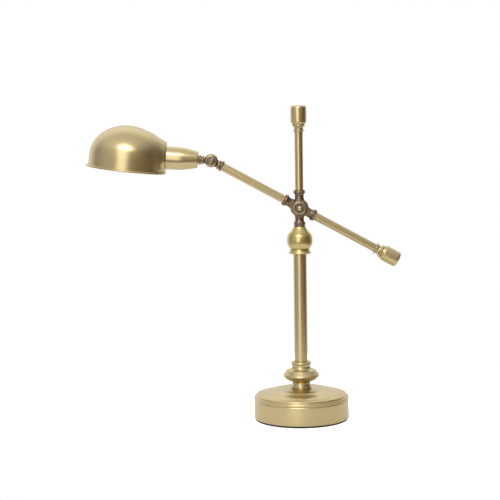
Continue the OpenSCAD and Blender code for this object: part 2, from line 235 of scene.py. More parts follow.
def mesh_piece(name: str, points: list[tuple], faces: list[tuple], place: Matrix) -> bpy.types.Object:
    """Makes a smooth-shaded object from points in millimetres.

    Args:
        name: The piece's name.
        points: Its vertices.
        faces: Its faces, as vertex numbers.
        place: Where it stands in the lamp.

    Returns:
        The new object.
    """
    mesh = bpy.data.meshes.new(name)
    mesh.from_pydata([(x * MM, y * MM, z * MM) for x, y, z in points], [], faces)
    work = bmesh.new()
    work.from_mesh(mesh)
    bmesh.ops.recalc_face_normals(work, faces=work.faces)
    work.to_mesh(mesh)
    work.free()
    mesh.shade_smooth()
    mesh.set_sharp_from_angle(angle=SHARP_ANGLE)
    piece = bpy.data.objects.new(name, mesh)
    bpy.context.scene.collection.objects.link(piece)
    piece.matrix_world = place
    return piece


def turned(
    name: str, corners: Sequence[Point], place: Matrix, closed: bool = False, sides: int = SIDES
) -> bpy.types.Object:
    """Turns an outline about the Z axis of a place.

    Args:
        name: The piece's name.
        corners: The outline's corners, each with its softness if it has any.
        place: Where the piece stands.
        closed: Whether the outline is a loop, as on a ring.
        sides: How many sides the round has.

    Returns:
        The turned piece.
    """
    outline = held_flat(softened(corners, closed), closed)
    points: list[tuple] = []
    rings: list[list[int]] = []
    for radius, height in outline:
        start = len(points)
        if radius < 1e-6:
            points.append((0.0, 0.0, height))
            rings.append([start] * sides)
            continue
        for side in range(sides):
            turn = 2 * math.pi * side / sides
            points.append((radius * math.cos(turn), radius * math.sin(turn), height))
        rings.append(list(range(start, start + sides)))
    pairs = list(zip(rings, rings[1:] + rings[:1])) if closed else list(zip(rings, rings[1:]))
    faces = []
    for low, high in pairs:
        for side in range(sides):
            after = (side + 1) % sides
            loop = dict.fromkeys((low[side], low[after], high[after], high[side]))
            if len(loop) > 2:
                faces.append(tuple(loop))
    return mesh_piece(name, points, faces, place)


def rod(name: str, radius: float, start: float, end: float, place: Matrix) -> bpy.types.Object:
    """Turns a plain round rod between two heights."""
    return turned(name, [(0, start), (radius, start), (radius, end), (0, end)], place)


def tube(name: str, radius: float, bore: float, start: float, end: float, place: Matrix) -> bpy.types.Object:
    """Turns a pipe with softly broken edges between two heights.

    Args:
        name: The piece's name.
        radius: The pipe's outer radius.
        bore: The bore's radius.
        start: Where it starts, in millimetres.
        end: Where it ends, in millimetres.
        place: The place that it is turned in.

    Returns:
        The pipe.
    """
    soft = 0.25
    corners = [(bore, start, soft), (radius, start, soft), (radius, end, soft), (bore, end, soft)]
    return turned(name, corners, place, closed=True)


def hexagon(name: str, flats: float, start: float, end: float, place: Matrix) -> bpy.types.Object:
    """Makes a hexagonal block with broken edges, flats being its width in millimetres.

    Args:
        name: The piece's name.
        flats: Its width over the flats, in millimetres.
        start: Where it starts, in millimetres.
        end: Where it ends, in millimetres.
        place: The place that it is turned in.

    Returns:
        The block.
    """
    radius, chamfer = flats / math.sqrt(3), 0.5
    block = turned(name, [(0, start), (radius, start), (radius, end), (0, end)], place, sides=6)
    bevel = block.modifiers.new("edges", "BEVEL")
    bevel.width = chamfer * MM
    bevel.segments = 3
    bevel.limit_method = "ANGLE"
    return applied(block)


def applied(piece: bpy.types.Object) -> bpy.types.Object:
    """Bakes a piece's modifiers into its mesh.

    Args:
        piece: The piece to work on.

    Returns:
        The same piece, with no modifiers left.
    """
    graph = bpy.context.evaluated_depsgraph_get()
    shaped = bpy.data.meshes.new_from_object(piece.evaluated_get(graph))
    piece.modifiers.clear()
    piece.data = shaped
    return piece


def joined(
    piece: bpy.types.Object,
    added: Sequence[bpy.types.Object] = (),
    cut: Sequence[bpy.types.Object] = (),
    sharp: float = SHARP_ANGLE,
) -> bpy.types.Object:
    """Adds solids to a piece, then cuts others out of it.

    Args:
        piece: The piece that is kept.
        added: Solids that become part of it.
        cut: Solids that are cut out of it.
        sharp: The angle past which an edge stays sharp.

    Returns:
        The piece, with the other solids used up.
    """
    for operation, tools in (("UNION", added), ("DIFFERENCE", cut)):
        for tool in tools:
            step = piece.modifiers.new(tool.name, "BOOLEAN")
            step.operation = operation
            step.solver = "MANIFOLD"
            step.object = tool
    applied(piece)
    for tool in (*added, *cut):
        bpy.data.objects.remove(tool, do_unlink=True)
    piece.data.shade_smooth()
    piece.data.set_sharp_from_angle(angle=sharp)
    return piece


def cast(piece: bpy.types.Object, grain: float, passes: int) -> bpy.types.Object:
    """Melts a built-up solid into one casting, with soft edges and filled corners.

    Args:
        piece: The solid to work on.
        grain: The size of its facets, in millimetres.
        passes: How many times it is smoothed.

    Returns:
        The same piece as one casting.
    """
    remesh = piece.modifiers.new("cast", "REMESH")
    remesh.mode = "VOXEL"
    remesh.voxel_size = grain * MM
    smooth = piece.modifiers.new("soften", "SMOOTH")
    smooth.factor = 0.5
    smooth.iterations = passes
    applied(piece)
    piece.data.shade_smooth()
    return piece


# ---------- Shader nodes ----------


class Bench:
    """Adds and links nodes in one shader tree."""

    def __init__(self, tree: bpy.types.NodeTree) -> None:
        """Starts on an empty tree."""
        self.tree = tree

    def add(self, kind: str, **settings: object) -> bpy.types.Node:
        """Adds a node and sets its properties.

        Args:
            kind: The node's type, without the ShaderNode in front.
            settings: Properties to set on it.

        Returns:
            The new node.
        """
        node = self.tree.nodes.new(kind if kind.startswith("Node") else "ShaderNode" + kind)
        for key, value in settings.items():
            setattr(node, key, value)
        return node

    def feed(self, socket: bpy.types.NodeSocket, source: object) -> None:
        """Links a socket to another one, or sets its value.

        Args:
            socket: The socket to feed.
            source: Another socket, a value, or None to leave it alone.
        """
        if isinstance(source, bpy.types.NodeSocket):
            self.tree.links.new(source, socket)
        elif source is not None:
            socket.default_value = source

    def math(self, operation: str, first: object, second: object = None) -> bpy.types.NodeSocket:
        """Adds a Math node and returns its result.

        Args:
            operation: What the node does.
            first: Its first value or socket.
            second: Its second value or socket.

        Returns:
            The node's result.
        """
        node = self.add("Math", operation=operation)
        self.feed(node.inputs[0], first)
        self.feed(node.inputs[1], second)
        return node.outputs[0]

    def vector(
        self, operation: str, first: object, second: object = None, scale: object = None
    ) -> bpy.types.NodeSocket:
        """Adds a Vector Math node and returns its vector, or its length.

        Args:
            operation: What the node does.
            first: Its first vector or socket.
            second: Its second vector or socket.
            scale: Its scale, where it has one.

        Returns:
            The node's result.
        """
        node = self.add("VectorMath", operation=operation)
        self.feed(node.inputs[0], first)
        self.feed(node.inputs[1], second)
        self.feed(node.inputs["Scale"], scale)
        return node.outputs["Value" if operation == "LENGTH" else "Vector"]

    def noise(
        self, vector: object, scale: object, detail: float = 2.0, rough: float = 0.5
    ) -> bpy.types.NodeSocket:
        """Adds a Noise node and returns its value.

        Args:
            vector: The place to look up.
            scale: How many patches there are per metre.
            detail: How many finer layers there are.
            rough: How strong the finer layers are.

        Returns:
            The noise, from 0 to 1.
        """
        node = self.add("TexNoise")
        self.feed(node.inputs["Vector"], vector)
        self.feed(node.inputs["Scale"], scale)
        node.inputs["Detail"].default_value = detail
        node.inputs["Roughness"].default_value = rough
        return node.outputs["Fac"]

    def ramp(self, value: object, low: object, high: object, to: Point = (0.0, 1.0)) -> bpy.types.NodeSocket:
        """Adds a smooth Map Range node from low and high to a new range, and returns its result.

        Args:
            value: The value to map.
            low: Where the rise starts.
            high: Where it ends.
            to: The values at its start and end.

        Returns:
            The mapped value.
        """
        node = self.add("MapRange", interpolation_type="SMOOTHSTEP")
        for socket, source in zip(node.inputs[:5], (value, low, high, *to)):
            self.feed(socket, source)
        return node.outputs["Result"]

    def blend(self, amount: object, first: object, second: object) -> bpy.types.NodeSocket:
        """Adds a Mix node for colours and returns its colour.

        Args:
            amount: How much of the second colour there is.
            first: The first colour or socket.
            second: The second colour or socket.

        Returns:
            The mixed colour.
        """
        node = self.add("Mix", data_type="RGBA")
        for name, source in zip(("Factor", "A", "B"), (amount, first, second)):
            wanted = "VALUE" if name == "Factor" else "RGBA"
            socket = next(s for s in node.inputs if s.name == name and s.type == wanted)
            self.feed(socket, (*source, 1.0) if isinstance(source, tuple) else source)
        return next(s for s in node.outputs if s.type == "RGBA")

    def place(self, group: bpy.types.NodeTree, **values: float) -> bpy.types.Node:
        """Places a node group with its own values.

        Args:
            group: The group's tree.
            values: Its inputs, with an underscore for each space.

        Returns:
            The group node.
        """
        node = self.add("Group", node_tree=group)
        for key, value in values.items():
            self.feed(node.inputs[key.replace("_", " ").capitalize()], value)
        return node


def new_group(
    name: str, inputs: dict[str, float], outputs: Sequence[str]
) -> tuple[Bench, bpy.types.Node, bpy.types.Node]:
    """Starts a shader node group.

    Args:
        name: The group's name.
        inputs: Its inputs and their usual values.
        outputs: The names of its outputs.

    Returns:
        A bench on its tree, its input node and its output node.
    """
    tree = bpy.data.node_groups.new(name, "ShaderNodeTree")
    for key, value in inputs.items():
        socket = tree.interface.new_socket(name=key, in_out="INPUT", socket_type="NodeSocketFloat")
        socket.default_value = value
    for key in outputs:
        tree.interface.new_socket(name=key, in_out="OUTPUT", socket_type="NodeSocketFloat")
    bench = Bench(tree)
    return bench, bench.add("NodeGroupInput"), bench.add("NodeGroupOutput")


@cache
def lathe_lines() -> bpy.types.NodeTree:
    """Makes the group for the fine rings that buffing on a lathe leaves about a piece's own Z axis.

    Returns:
        The group, with a Height for bump and a Band that varies from ring to ring.
    """
    inputs = {"Rings per metre": 2500.0, "Wander": 0.6}
    bench, given, result = new_group("lathe_lines", inputs, ("Height", "Band"))
    place = bench.add("TexCoord").outputs["Object"]
    parts = bench.add("SeparateXYZ")
    bench.feed(parts.inputs[0], place)
    flat = bench.add("CombineXYZ")
    bench.feed(flat.inputs["X"], parts.outputs["X"])
    bench.feed(flat.inputs["Y"], parts.outputs["Y"])
    radius = bench.vector("LENGTH", flat.outputs[0])
    travel = bench.math("ADD", radius, parts.outputs["Z"])
    heading = bench.vector("SCALE", bench.vector("NORMALIZE", flat.outputs[0]), scale=given.outputs["Wander"])
    for key, share in (("Height", 1.0), ("Band", 0.12)):
        count = bench.math("MULTIPLY", travel, given.outputs["Rings per metre"])
        rings = bench.math("MULTIPLY", count, share)
        step = bench.add("CombineXYZ")
        bench.feed(step.inputs["Z"], rings)
        spot = bench.vector("ADD", heading, step.outputs[0])
        bench.feed(result.inputs[key], bench.noise(spot, 1.0, 2.0, 0.6))
    return bench.tree


@cache
def lacquer_tone() -> bpy.types.NodeTree:
    """Makes the group for slow changes of tone under old lacquer.

    Returns:
        The group, with a Tone mask, finer Smudges and dark Specks.
    """
    bench, given, result = new_group(
        "lacquer_tone", {"Patches per metre": 22.0, "Specks per metre": 900.0}, ("Tone", "Smudges", "Specks")
    )
    place = bench.add("TexCoord").outputs["Object"]
    tone = bench.noise(place, given.outputs["Patches per metre"], 3.0, 0.55)
    bench.feed(result.inputs["Tone"], bench.ramp(tone, 0.36, 0.66))
    smudges = bench.noise(place, bench.math("MULTIPLY", given.outputs["Patches per metre"], 6.0), 4.0, 0.6)
    bench.feed(result.inputs["Smudges"], bench.ramp(smudges, 0.3, 0.7))
    specks = bench.noise(place, given.outputs["Specks per metre"], 1.0, 0.5)
    bench.feed(result.inputs["Specks"], bench.ramp(specks, 0.7, 0.8))
    return bench.tree


@cache
def shade_and_wear_marks() -> bpy.types.NodeTree:
    """Makes the group for painted shade in corners and recesses, and for edges rubbed bright by wear.

    Returns:
        The group, with a Recess mask of painted shade and an Edge mask of wear.
    """
    bench, given, result = new_group("shade_and_wear_marks", {"Reach": 0.004, "Edge start": 0.52}, ("Recess", "Edge"))
    # Recess: painted shade, darker where ambient occlusion finds corners and recesses
    corner = bench.add("AmbientOcclusion", samples=6, only_local=False)
    bench.feed(corner.inputs["Distance"], given.outputs["Reach"])
    bench.feed(result.inputs["Recess"], bench.ramp(corner.outputs["AO"], 0.97, 0.45))
    shape = bench.add("NewGeometry")
    start = given.outputs["Edge start"]
    edge = bench.ramp(shape.outputs["Pointiness"], start, bench.math("ADD", start, 0.06))
    bench.feed(result.inputs["Edge"], edge)
    return bench.tree


@cache
def cast_skin() -> bpy.types.NodeTree:
    """Makes the group for the faint unevenness of a cast or moulded skin.

    Returns:
        The group, with a Height for bump and a Mottle mask.
    """
    bench, given, result = new_group("cast_skin", {"Grains per metre": 1400.0}, ("Height", "Mottle"))
    place = bench.add("TexCoord").outputs["Object"]
    grains = given.outputs["Grains per metre"]
    fine = bench.noise(place, grains, 3.0, 0.6)
    broad = bench.noise(place, bench.math("MULTIPLY", grains, 0.15), 3.0, 0.6)
    bench.feed(result.inputs["Height"], bench.math("ADD", fine, bench.math("MULTIPLY", broad, 2.0)))
    bench.feed(result.inputs["Mottle"], bench.ramp(broad, 0.35, 0.65))
    return bench.tree


# ---------- Finishes ----------


@dataclass(frozen=True)
class Finish:
    """A finish, named as the record's slot that it belongs to."""

    name: str

    def material(self) -> bpy.types.Material:
        """Gives this finish's material, made once.

        Returns:
            The material.
        """
        found = bpy.data.materials.get(self.name)
        if found:
            return found
        made = bpy.data.materials.new(self.name)
        made.use_nodes = True
        made.node_tree.nodes.clear()
        bench = Bench(made.node_tree)
        shader = bench.add("BsdfPrincipled")
        output = bench.add("OutputMaterial")
        bench.feed(output.inputs["Surface"], shader.outputs["BSDF"])
        self.mix(bench, shader)
        return made

    def mix(self, bench: Bench, shader: bpy.types.Node) -> None:
        """Sets the shader of this finish; each kind has its own."""
        raise NotImplementedError

    def bump(self, bench: Bench, shader: bpy.types.Node, height: object, depth: float) -> None:
        """Feeds a height into the shader's normal.

        Args:
            bench: The bench on the material's tree.
            shader: The shader to feed.
            height: The socket of the height, from 0 to 1.
            depth: How deep a height of 1 is, in metres.
        """
        node = bench.add("Bump")
        node.inputs["Strength"].default_value = 1.0
        node.inputs["Distance"].default_value = depth
        bench.feed(node.inputs["Height"], height)
        bench.feed(shader.inputs["Normal"], node.outputs["Normal"])


@dataclass(frozen=True)
class TurnedMetal(Finish):
    """Metal that was turned or spun, buffed in rings and lacquered."""

    colour: Colour
    aged: Colour
    roughness: float
    stretch: float
    rings: float = 2500.0
    ring_depth: float = 4e-7
    banding: float = 0.06
    smudge: float = 0.02
    age: float = 0.5
    coat: float = 0.8
    coat_roughness: float = 0.14
    coat_ior: float = 1.65
    # recess and reach: how strongly, and how far in metres, painted shade darkens corners and recesses
    recess: float = 0.6
    reach: float = 0.004

    def mix(self, bench: Bench, shader: bpy.types.Node) -> None:
        """Sets colour with painted shade in corners and recesses, roughness, stretched highlights, lacquer and
        ring marks.

        Args:
            bench: The bench on the material's tree.
            shader: The finish's shader.
        """
        lines = bench.place(lathe_lines(), rings_per_metre=self.rings)
        tone = bench.place(lacquer_tone())
        marks = bench.place(shade_and_wear_marks(), reach=self.reach)
        worn = bench.math("MULTIPLY", tone.outputs["Tone"], self.age)
        base = bench.blend(worn, self.colour, self.aged)
        # A dark colour for painted shade in corners and recesses, and for the random dark specks
        painted_shade_and_speck = tuple(0.22 * c for c in self.aged)
        # Painted shade: corners and recesses darkened by the Recess mask
        dark = bench.math("MULTIPLY", marks.outputs["Recess"], self.recess)
        base = bench.blend(dark, base, painted_shade_and_speck)
        base = bench.blend(bench.math("MULTIPLY", tone.outputs["Specks"], 0.35), base, painted_shade_and_speck)
        bench.feed(shader.inputs["Base Color"], base)
        shader.inputs["Metallic"].default_value = 1.0
        spread = bench.math("MULTIPLY", lines.outputs["Band"], self.banding)
        smudged = bench.math("MULTIPLY", tone.outputs["Smudges"], self.smudge)
        rough = bench.math("ADD", bench.math("ADD", spread, smudged), self.roughness - 0.07)
        bench.feed(shader.inputs["Roughness"], rough)
        shader.inputs["Anisotropic"].default_value = self.stretch
        shader.inputs["Anisotropic Rotation"].default_value = 0.25
        rings = bench.add("Tangent", direction_type="RADIAL", axis="Z")
        bench.feed(shader.inputs["Tangent"], rings.outputs[0])
        shader.inputs["Coat Weight"].default_value = self.coat
        shader.inputs["Coat Roughness"].default_value = self.coat_roughness
        shader.inputs["Coat IOR"].default_value = self.coat_ior
        self.bump(bench, shader, lines.outputs["Height"], self.ring_depth)


@dataclass(frozen=True)
class CastMetal(Finish):
    """Cast metal with bright rubbed edges, its corners darkened partly by antique wash and partly by painted
    shade.
    """

    colour: Colour
    wash: Colour
    rubbed: Colour
    roughness: float
    # How far the corners' darkening of antique wash and painted shade reaches, in metres
    reach: float = 0.004
    grain_depth: float = 1.5e-6

    def mix(self, bench: Bench, shader: bpy.types.Node) -> None:
        """Sets the mottled colour, the corners darkened by wash and painted shade, the rubbed edges and the skin.

        Args:
            bench: The bench on the material's tree.
            shader: The finish's shader.
        """
        marks = bench.place(shade_and_wear_marks(), reach=self.reach)
        skin = bench.place(cast_skin())
        tone = bench.place(lacquer_tone(), patches_per_metre=90.0)
        base = bench.blend(bench.math("MULTIPLY", tone.outputs["Tone"], 0.35), self.colour, self.wash)
        base = bench.blend(bench.math("MULTIPLY", marks.outputs["Edge"], 0.45), base, self.rubbed)
        # Corners and recesses darkened by the Recess mask: partly antique wash, partly painted shade
        deep = tuple(0.25 * c for c in self.wash)
        base = bench.blend(marks.outputs["Recess"], base, deep)
        bench.feed(shader.inputs["Base Color"], base)
        shader.inputs["Metallic"].default_value = 1.0
        rough = bench.math("ADD", bench.math("MULTIPLY", skin.outputs["Mottle"], 0.04), self.roughness)
        bench.feed(shader.inputs["Roughness"], rough)
        shader.inputs["Coat Weight"].default_value = 1.0
        shader.inputs["Coat Roughness"].default_value = 0.10
        shader.inputs["Coat IOR"].default_value = 1.6
        self.bump(bench, shader, skin.outputs["Height"], self.grain_depth)


@dataclass(frozen=True)
class Moulded(Finish):
    """Moulded phenolic, rubber or insulation, and painted iron."""

    colour: Colour
    dusty: Colour
    roughness: float
    grains: float = 1200.0
    depth: float = 3e-5
    metallic: float = 0.0

    def mix(self, bench: Bench, shader: bpy.types.Node) -> None:
        """Sets a dusty colour and the moulded skin.

        Args:
            bench: The bench on the material's tree.
            shader: The finish's shader.
        """
        skin = bench.place(cast_skin(), grains_per_metre=self.grains)
        bench.feed(shader.inputs["Base Color"], bench.blend(skin.outputs["Mottle"], self.colour, self.dusty))
        shader.inputs["Metallic"].default_value = self.metallic
        rough = bench.math("ADD", bench.math("MULTIPLY", skin.outputs["Mottle"], 0.15), self.roughness)
        bench.feed(shader.inputs["Roughness"], rough)
        self.bump(bench, shader, skin.outputs["Height"], self.depth)


@dataclass(frozen=True)
class Felt(Finish):
    """Pressed wool felt with a short nap."""

    colour: Colour
    lint: Colour

    def mix(self, bench: Bench, shader: bpy.types.Node) -> None:
        """Sets the fibres' colour and height, and the nap's sheen.

        Args:
            bench: The bench on the material's tree.
            shader: The finish's shader.
        """
        place = bench.add("TexCoord").outputs["Object"]
        bent = bench.vector("ADD", place, bench.vector("SCALE", self.wobble(bench, place), scale=0.002))
        fibres = bench.noise(bent, 2600.0, 4.0, 0.7)
        tufts = bench.noise(place, 500.0, 3.0, 0.6)
        fluff = bench.ramp(fibres, 0.45, 0.75)
        bench.feed(shader.inputs["Base Color"], bench.blend(fluff, self.colour, self.lint))
        bench.feed(shader.inputs["Roughness"], bench.ramp(tufts, 0.2, 0.8, (0.85, 1.0)))
        shader.inputs["Sheen Weight"].default_value = 0.35
        shader.inputs["Sheen Roughness"].default_value = 0.5
        self.bump(bench, shader, bench.math("ADD", fibres, tufts), 2e-4)

    def wobble(self, bench: Bench, place: bpy.types.NodeSocket) -> bpy.types.NodeSocket:
        """Gives a vector that bends the fibres' lines.

        Args:
            bench: The bench on the material's tree.
            place: The place to look up.

        Returns:
            A vector that varies from fibre to fibre.
        """
        node = bench.add("TexNoise")
        bench.feed(node.inputs["Vector"], place)
        node.inputs["Scale"].default_value = 700.0
        return node.outputs["Color"]


BRASS: Colour = (0.74, 0.55, 0.26)
OLD_BRASS: Colour = (0.50, 0.34, 0.14)

SHELL_BRASS = TurnedMetal("shell_brass", (0.78, 0.63, 0.37), OLD_BRASS, roughness=0.30, stretch=0.95,
                          rings=1800.0, age=0.35, coat=1.0, recess=0.9, reach=0.007)
TURNED_BRASS = TurnedMetal("turned_brass", BRASS, OLD_BRASS, roughness=0.13, stretch=0.30, recess=0.95,
                           reach=0.008)
TUBE_BRASS = TurnedMetal("tube_brass", (0.72, 0.55, 0.29), (0.46, 0.32, 0.15), roughness=0.34, stretch=0.97,
                         ring_depth=2e-8, banding=0.02, smudge=0.01)
BALL_BRASS = TurnedMetal("ball_brass", (0.72, 0.57, 0.24), (0.44, 0.32, 0.10), roughness=0.13, stretch=0.4,
                         age=0.6, recess=0.9)
CUP_BRASS = TurnedMetal("cup_brass", (0.76, 0.60, 0.32), OLD_BRASS, roughness=0.15, stretch=0.6, age=0.4)
SHADE_BRASS = TurnedMetal("shade_brass", (0.77, 0.63, 0.37), OLD_BRASS, roughness=0.22, stretch=0.85,
                          rings=1600.0, age=0.35, coat=1.0)
CONTACT_BRASS = TurnedMetal("contact_brass", (0.83, 0.62, 0.26), BRASS, roughness=0.25, stretch=0.3, coat=0.0)
BOLT_BRASS = TurnedMetal("bolt_brass", (0.80, 0.68, 0.42), BRASS, roughness=0.22, stretch=0.3)
PLATED_DISC = TurnedMetal("plated_disc", (0.66, 0.64, 0.60), (0.42, 0.38, 0.32), roughness=0.28, stretch=0.5)
ZINC_STEEL = TurnedMetal("zinc_steel", (0.60, 0.59, 0.56), (0.40, 0.37, 0.32), roughness=0.35, stretch=0.4,
                         coat=0.0)
DARK_STEEL = TurnedMetal("dark_steel", (0.16, 0.13, 0.11), (0.07, 0.055, 0.045), roughness=0.36, stretch=0.3,
                         coat=0.3)
ANTIQUE_BRONZE = CastMetal("antique_bronze", (0.47, 0.37, 0.28), (0.13, 0.085, 0.055), (0.78, 0.66, 0.54),
                           roughness=0.13, reach=0.006)
KNUCKLE_BRONZE = CastMetal("knuckle_bronze", (0.78, 0.68, 0.52), (0.24, 0.17, 0.10), (0.90, 0.82, 0.66),
                           roughness=0.12, reach=0.0035)
CAST_IRON = Moulded("cast_iron", (0.06, 0.06, 0.065), (0.11, 0.10, 0.10), roughness=0.55, metallic=0.6)
RUBBER = Moulded("rubber", (0.018, 0.017, 0.016), (0.04, 0.037, 0.033), roughness=0.55)
PHENOLIC = Moulded("phenolic", (0.016, 0.013, 0.011), (0.03, 0.026, 0.022), roughness=0.3, grains=900.0,
                   depth=8e-6)
INSULATION = Moulded("lead_insulation", (0.62, 0.59, 0.52), (0.48, 0.44, 0.37), roughness=0.45, depth=1e-5)
FELT = Felt("felt", (0.012, 0.011, 0.009), (0.05, 0.046, 0.036))


def fit(piece: bpy.types.Object, body: Body, finish: Finish, *nodes: str) -> bpy.types.Object:
    """Dresses a piece, hangs it on its CAD body and puts it in the place of its CAD nodes.

    Args:
        piece: The finished mesh.
        body: The body that it moves with.
        finish: Its finish.
        nodes: The CAD nodes that it stands for.

    Returns:
        The piece.
    """
    piece.data.materials.clear()
    piece.data.materials.append(finish.material())
    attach(piece, body.value)
    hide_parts(*nodes)
    log.info("%s: %d vertices, %s, on %s", piece.name, len(piece.data.vertices), finish.name, body.value)
    return piece


# ---------- Stand ----------


@dataclass
class Base:
    """The weighted foot of the lamp: felt, spun shell and the bush for the mains lead."""

    radius: float = 76.5
    wall_top: float = 32.0
    foot: float = 3.1
    top: float = 50.2
    inlet_height: float = 9.0

    def outline(self) -> list[Point]:
        """Gives the shell's outline from its foot over the bead and the ridge to the flat.

        Returns:
            The corners of the outline.
        """
        r, h = self.radius, self.wall_top
        bead = arc((r - 2.7, h + 3.5), 2.6, -42, 80, 16)
        ridge = arc((r - 5.3, h + 7.6), 1.7, -10, 125, 14)
        wall = [(0, self.foot), (r - 0.2, self.foot, 0.5), (r - 0.9, h, 0.5), (r - 1.7, h + 0.9, 0.4)]
        slope = [(r - 7.2, h + 8.2, 0.3), (r - 8.6, h + 8.7, 0.5), (62, 44.2, 4), (50, 46.5, 3),
                 (46, 47.6, 1.2), (42, 49.3, 1.6), (38, 50, 2)]
        return wall + bead + [(r - 3.3, h + 6.1, 0.3)] + ridge + slope + [(32, self.top, 2), (0, self.top)]

    def build(self) -> None:
        """Builds and dresses the felt, the shell and the bush."""
        pad_radius = self.radius - 2
        pad = [(0, 0.02), (pad_radius, 0.02, 0.7), (pad_radius, self.foot, 0.5), (0, self.foot)]
        fit(turned("felt_pad", pad, COLUMN), Body.STAND, FELT, "felt_pad")
        wall = Vector((0, (self.radius + 0.1) * MM, self.inlet_height * MM))
        outward = facing(ACROSS, wall)
        hole = rod("inlet_hole", 4.45, -12, 4, outward)
        shell = joined(turned("base_shell", self.outline(), COLUMN, sides=2 * SIDES), cut=[hole])
        fit(shell, Body.STAND, SHELL_BRASS, "base_shell")
        bush = [(3.4, -4, 0.4), (5.4, -4, 0.4), (5.4, -2.2, 0.3), (4.4, -2.2), (4.4, 0), (6, 0, 0.3),
                (6, 1.1, 0.8), (4.6, 1.8, 0.5), (3.4, 1.8, 0.6)]
        fit(turned("cord_grommet", bush, outward, closed=True), Body.STAND, RUBBER, "cord_grommet")


@dataclass
class Column:
    """The turned collar, the tube and the ball with its foot and cone."""

    tube_radius: float = 10.5
    ball_radius: float = 20.5
    ball_segments: int = 40

    def collar(self) -> list[Point]:
        """Gives the collar's outline: ring, cove, sharp disc, cove and ring.

        Returns:
            The corners of the outline.
        """
        low, high = span("base_collar", COLUMN)
        foot = [(0, low), (15.2, low, 0.2), (15.6, low + 1.7, 0.5)] + arc((15, low + 3.7), 1.5, -50, 60)
        cove = [(14.6, 57, 1.6), (14.3, 59.2, 1.6), (15, 61.2, 1.2), (17.6, 62.4, 1), (22, 63.8, 1.2)]
        disc = [(25.2, 66.2, 1.4), (29.2, 70.8, 0.7), (29.4, 71.8, 0.5), (28.9, 73, 0.9), (24.6, 78, 0.5)]
        upper = [(17.6, 81.6, 2.4), (15.6, 83.6, 1.6), (14.9, 86.4, 1.4), (15.2, 88.3, 0.4)]
        ring = arc((14.2, 91.6), 2.3, -50, 90, 16)
        end = high - 1.4
        return foot + cove + disc + arc((22.2, 77.4), 2.7, 20, 85, 10) + upper + ring + [
            (11.9, high - 0.9, 0.6), (10.8, end, 0.2), (0, end)]

    def ball(self) -> dict[str, list[Point]]:
        """Gives the outlines of the foot, the ball and the cone, which meet at fine seams.

        Returns:
            The corners of each outline, by the piece's name.
        """
        start = span("ball_foot", COLUMN)[0]
        seam, cone = span("ball_body", COLUMN)
        centre = start + 22.7
        top = span("ball_cone", COLUMN)[1]
        groove = 0.6
        low = math.degrees(math.asin((seam - centre) / self.ball_radius))
        high = math.degrees(math.asin((cone - centre) / self.ball_radius))
        foot = [(0, start), (11.4, start, 0.6), (17.6, start + 1.6, 0.8), (18.1, start + 2.4, 0.6),
                (17.6, start + 3.2, 0.5), (16.4, start + 4.8, 1.2), (15.6, start + 6.8, 1.2),
                (15.3, start + 9, 0.8), (15.1, seam - 0.5, 0.25), (15.1 - groove, seam, 0.1), (0, seam)]
        round_part = arc((0, centre), self.ball_radius, low + 1.5, high - 1.5, self.ball_segments)
        ball = [(0, seam), (round_part[0][0] - groove, seam, 0.1), *round_part, (16.6 - groove, cone, 0.1),
                (0, cone)]
        cone_part = [(0, cone), (16.6 - groove, cone, 0.1), (16.3, cone + 0.5, 0.2), (15.8, cone + 1.2, 0.8),
                     (13.2, cone + 4.6, 2), (11.1, cone + 7.6, 2), (9.4, top - 0.8, 1), (8.9, top, 0.3),
                     (0, top)]
        return {"ball_foot": foot, "ball_body": ball, "ball_cone": cone_part}

    def build(self) -> None:
        """Builds and dresses the collar, the tube and the ball."""
        fit(turned("base_collar", self.collar(), COLUMN), Body.STAND, TURNED_BRASS, "base_collar")
        low, high = span("column_tube", COLUMN)
        pipe = tube("column_tube", self.tube_radius, self.tube_radius - 1.2, low, high, COLUMN)
        fit(pipe, Body.STAND, TUBE_BRASS, "column_tube")
        for name, outline in self.ball().items():
            fit(turned(name, outline, COLUMN), Body.STAND, BALL_BRASS, name)


# ---------- Cross joint ----------


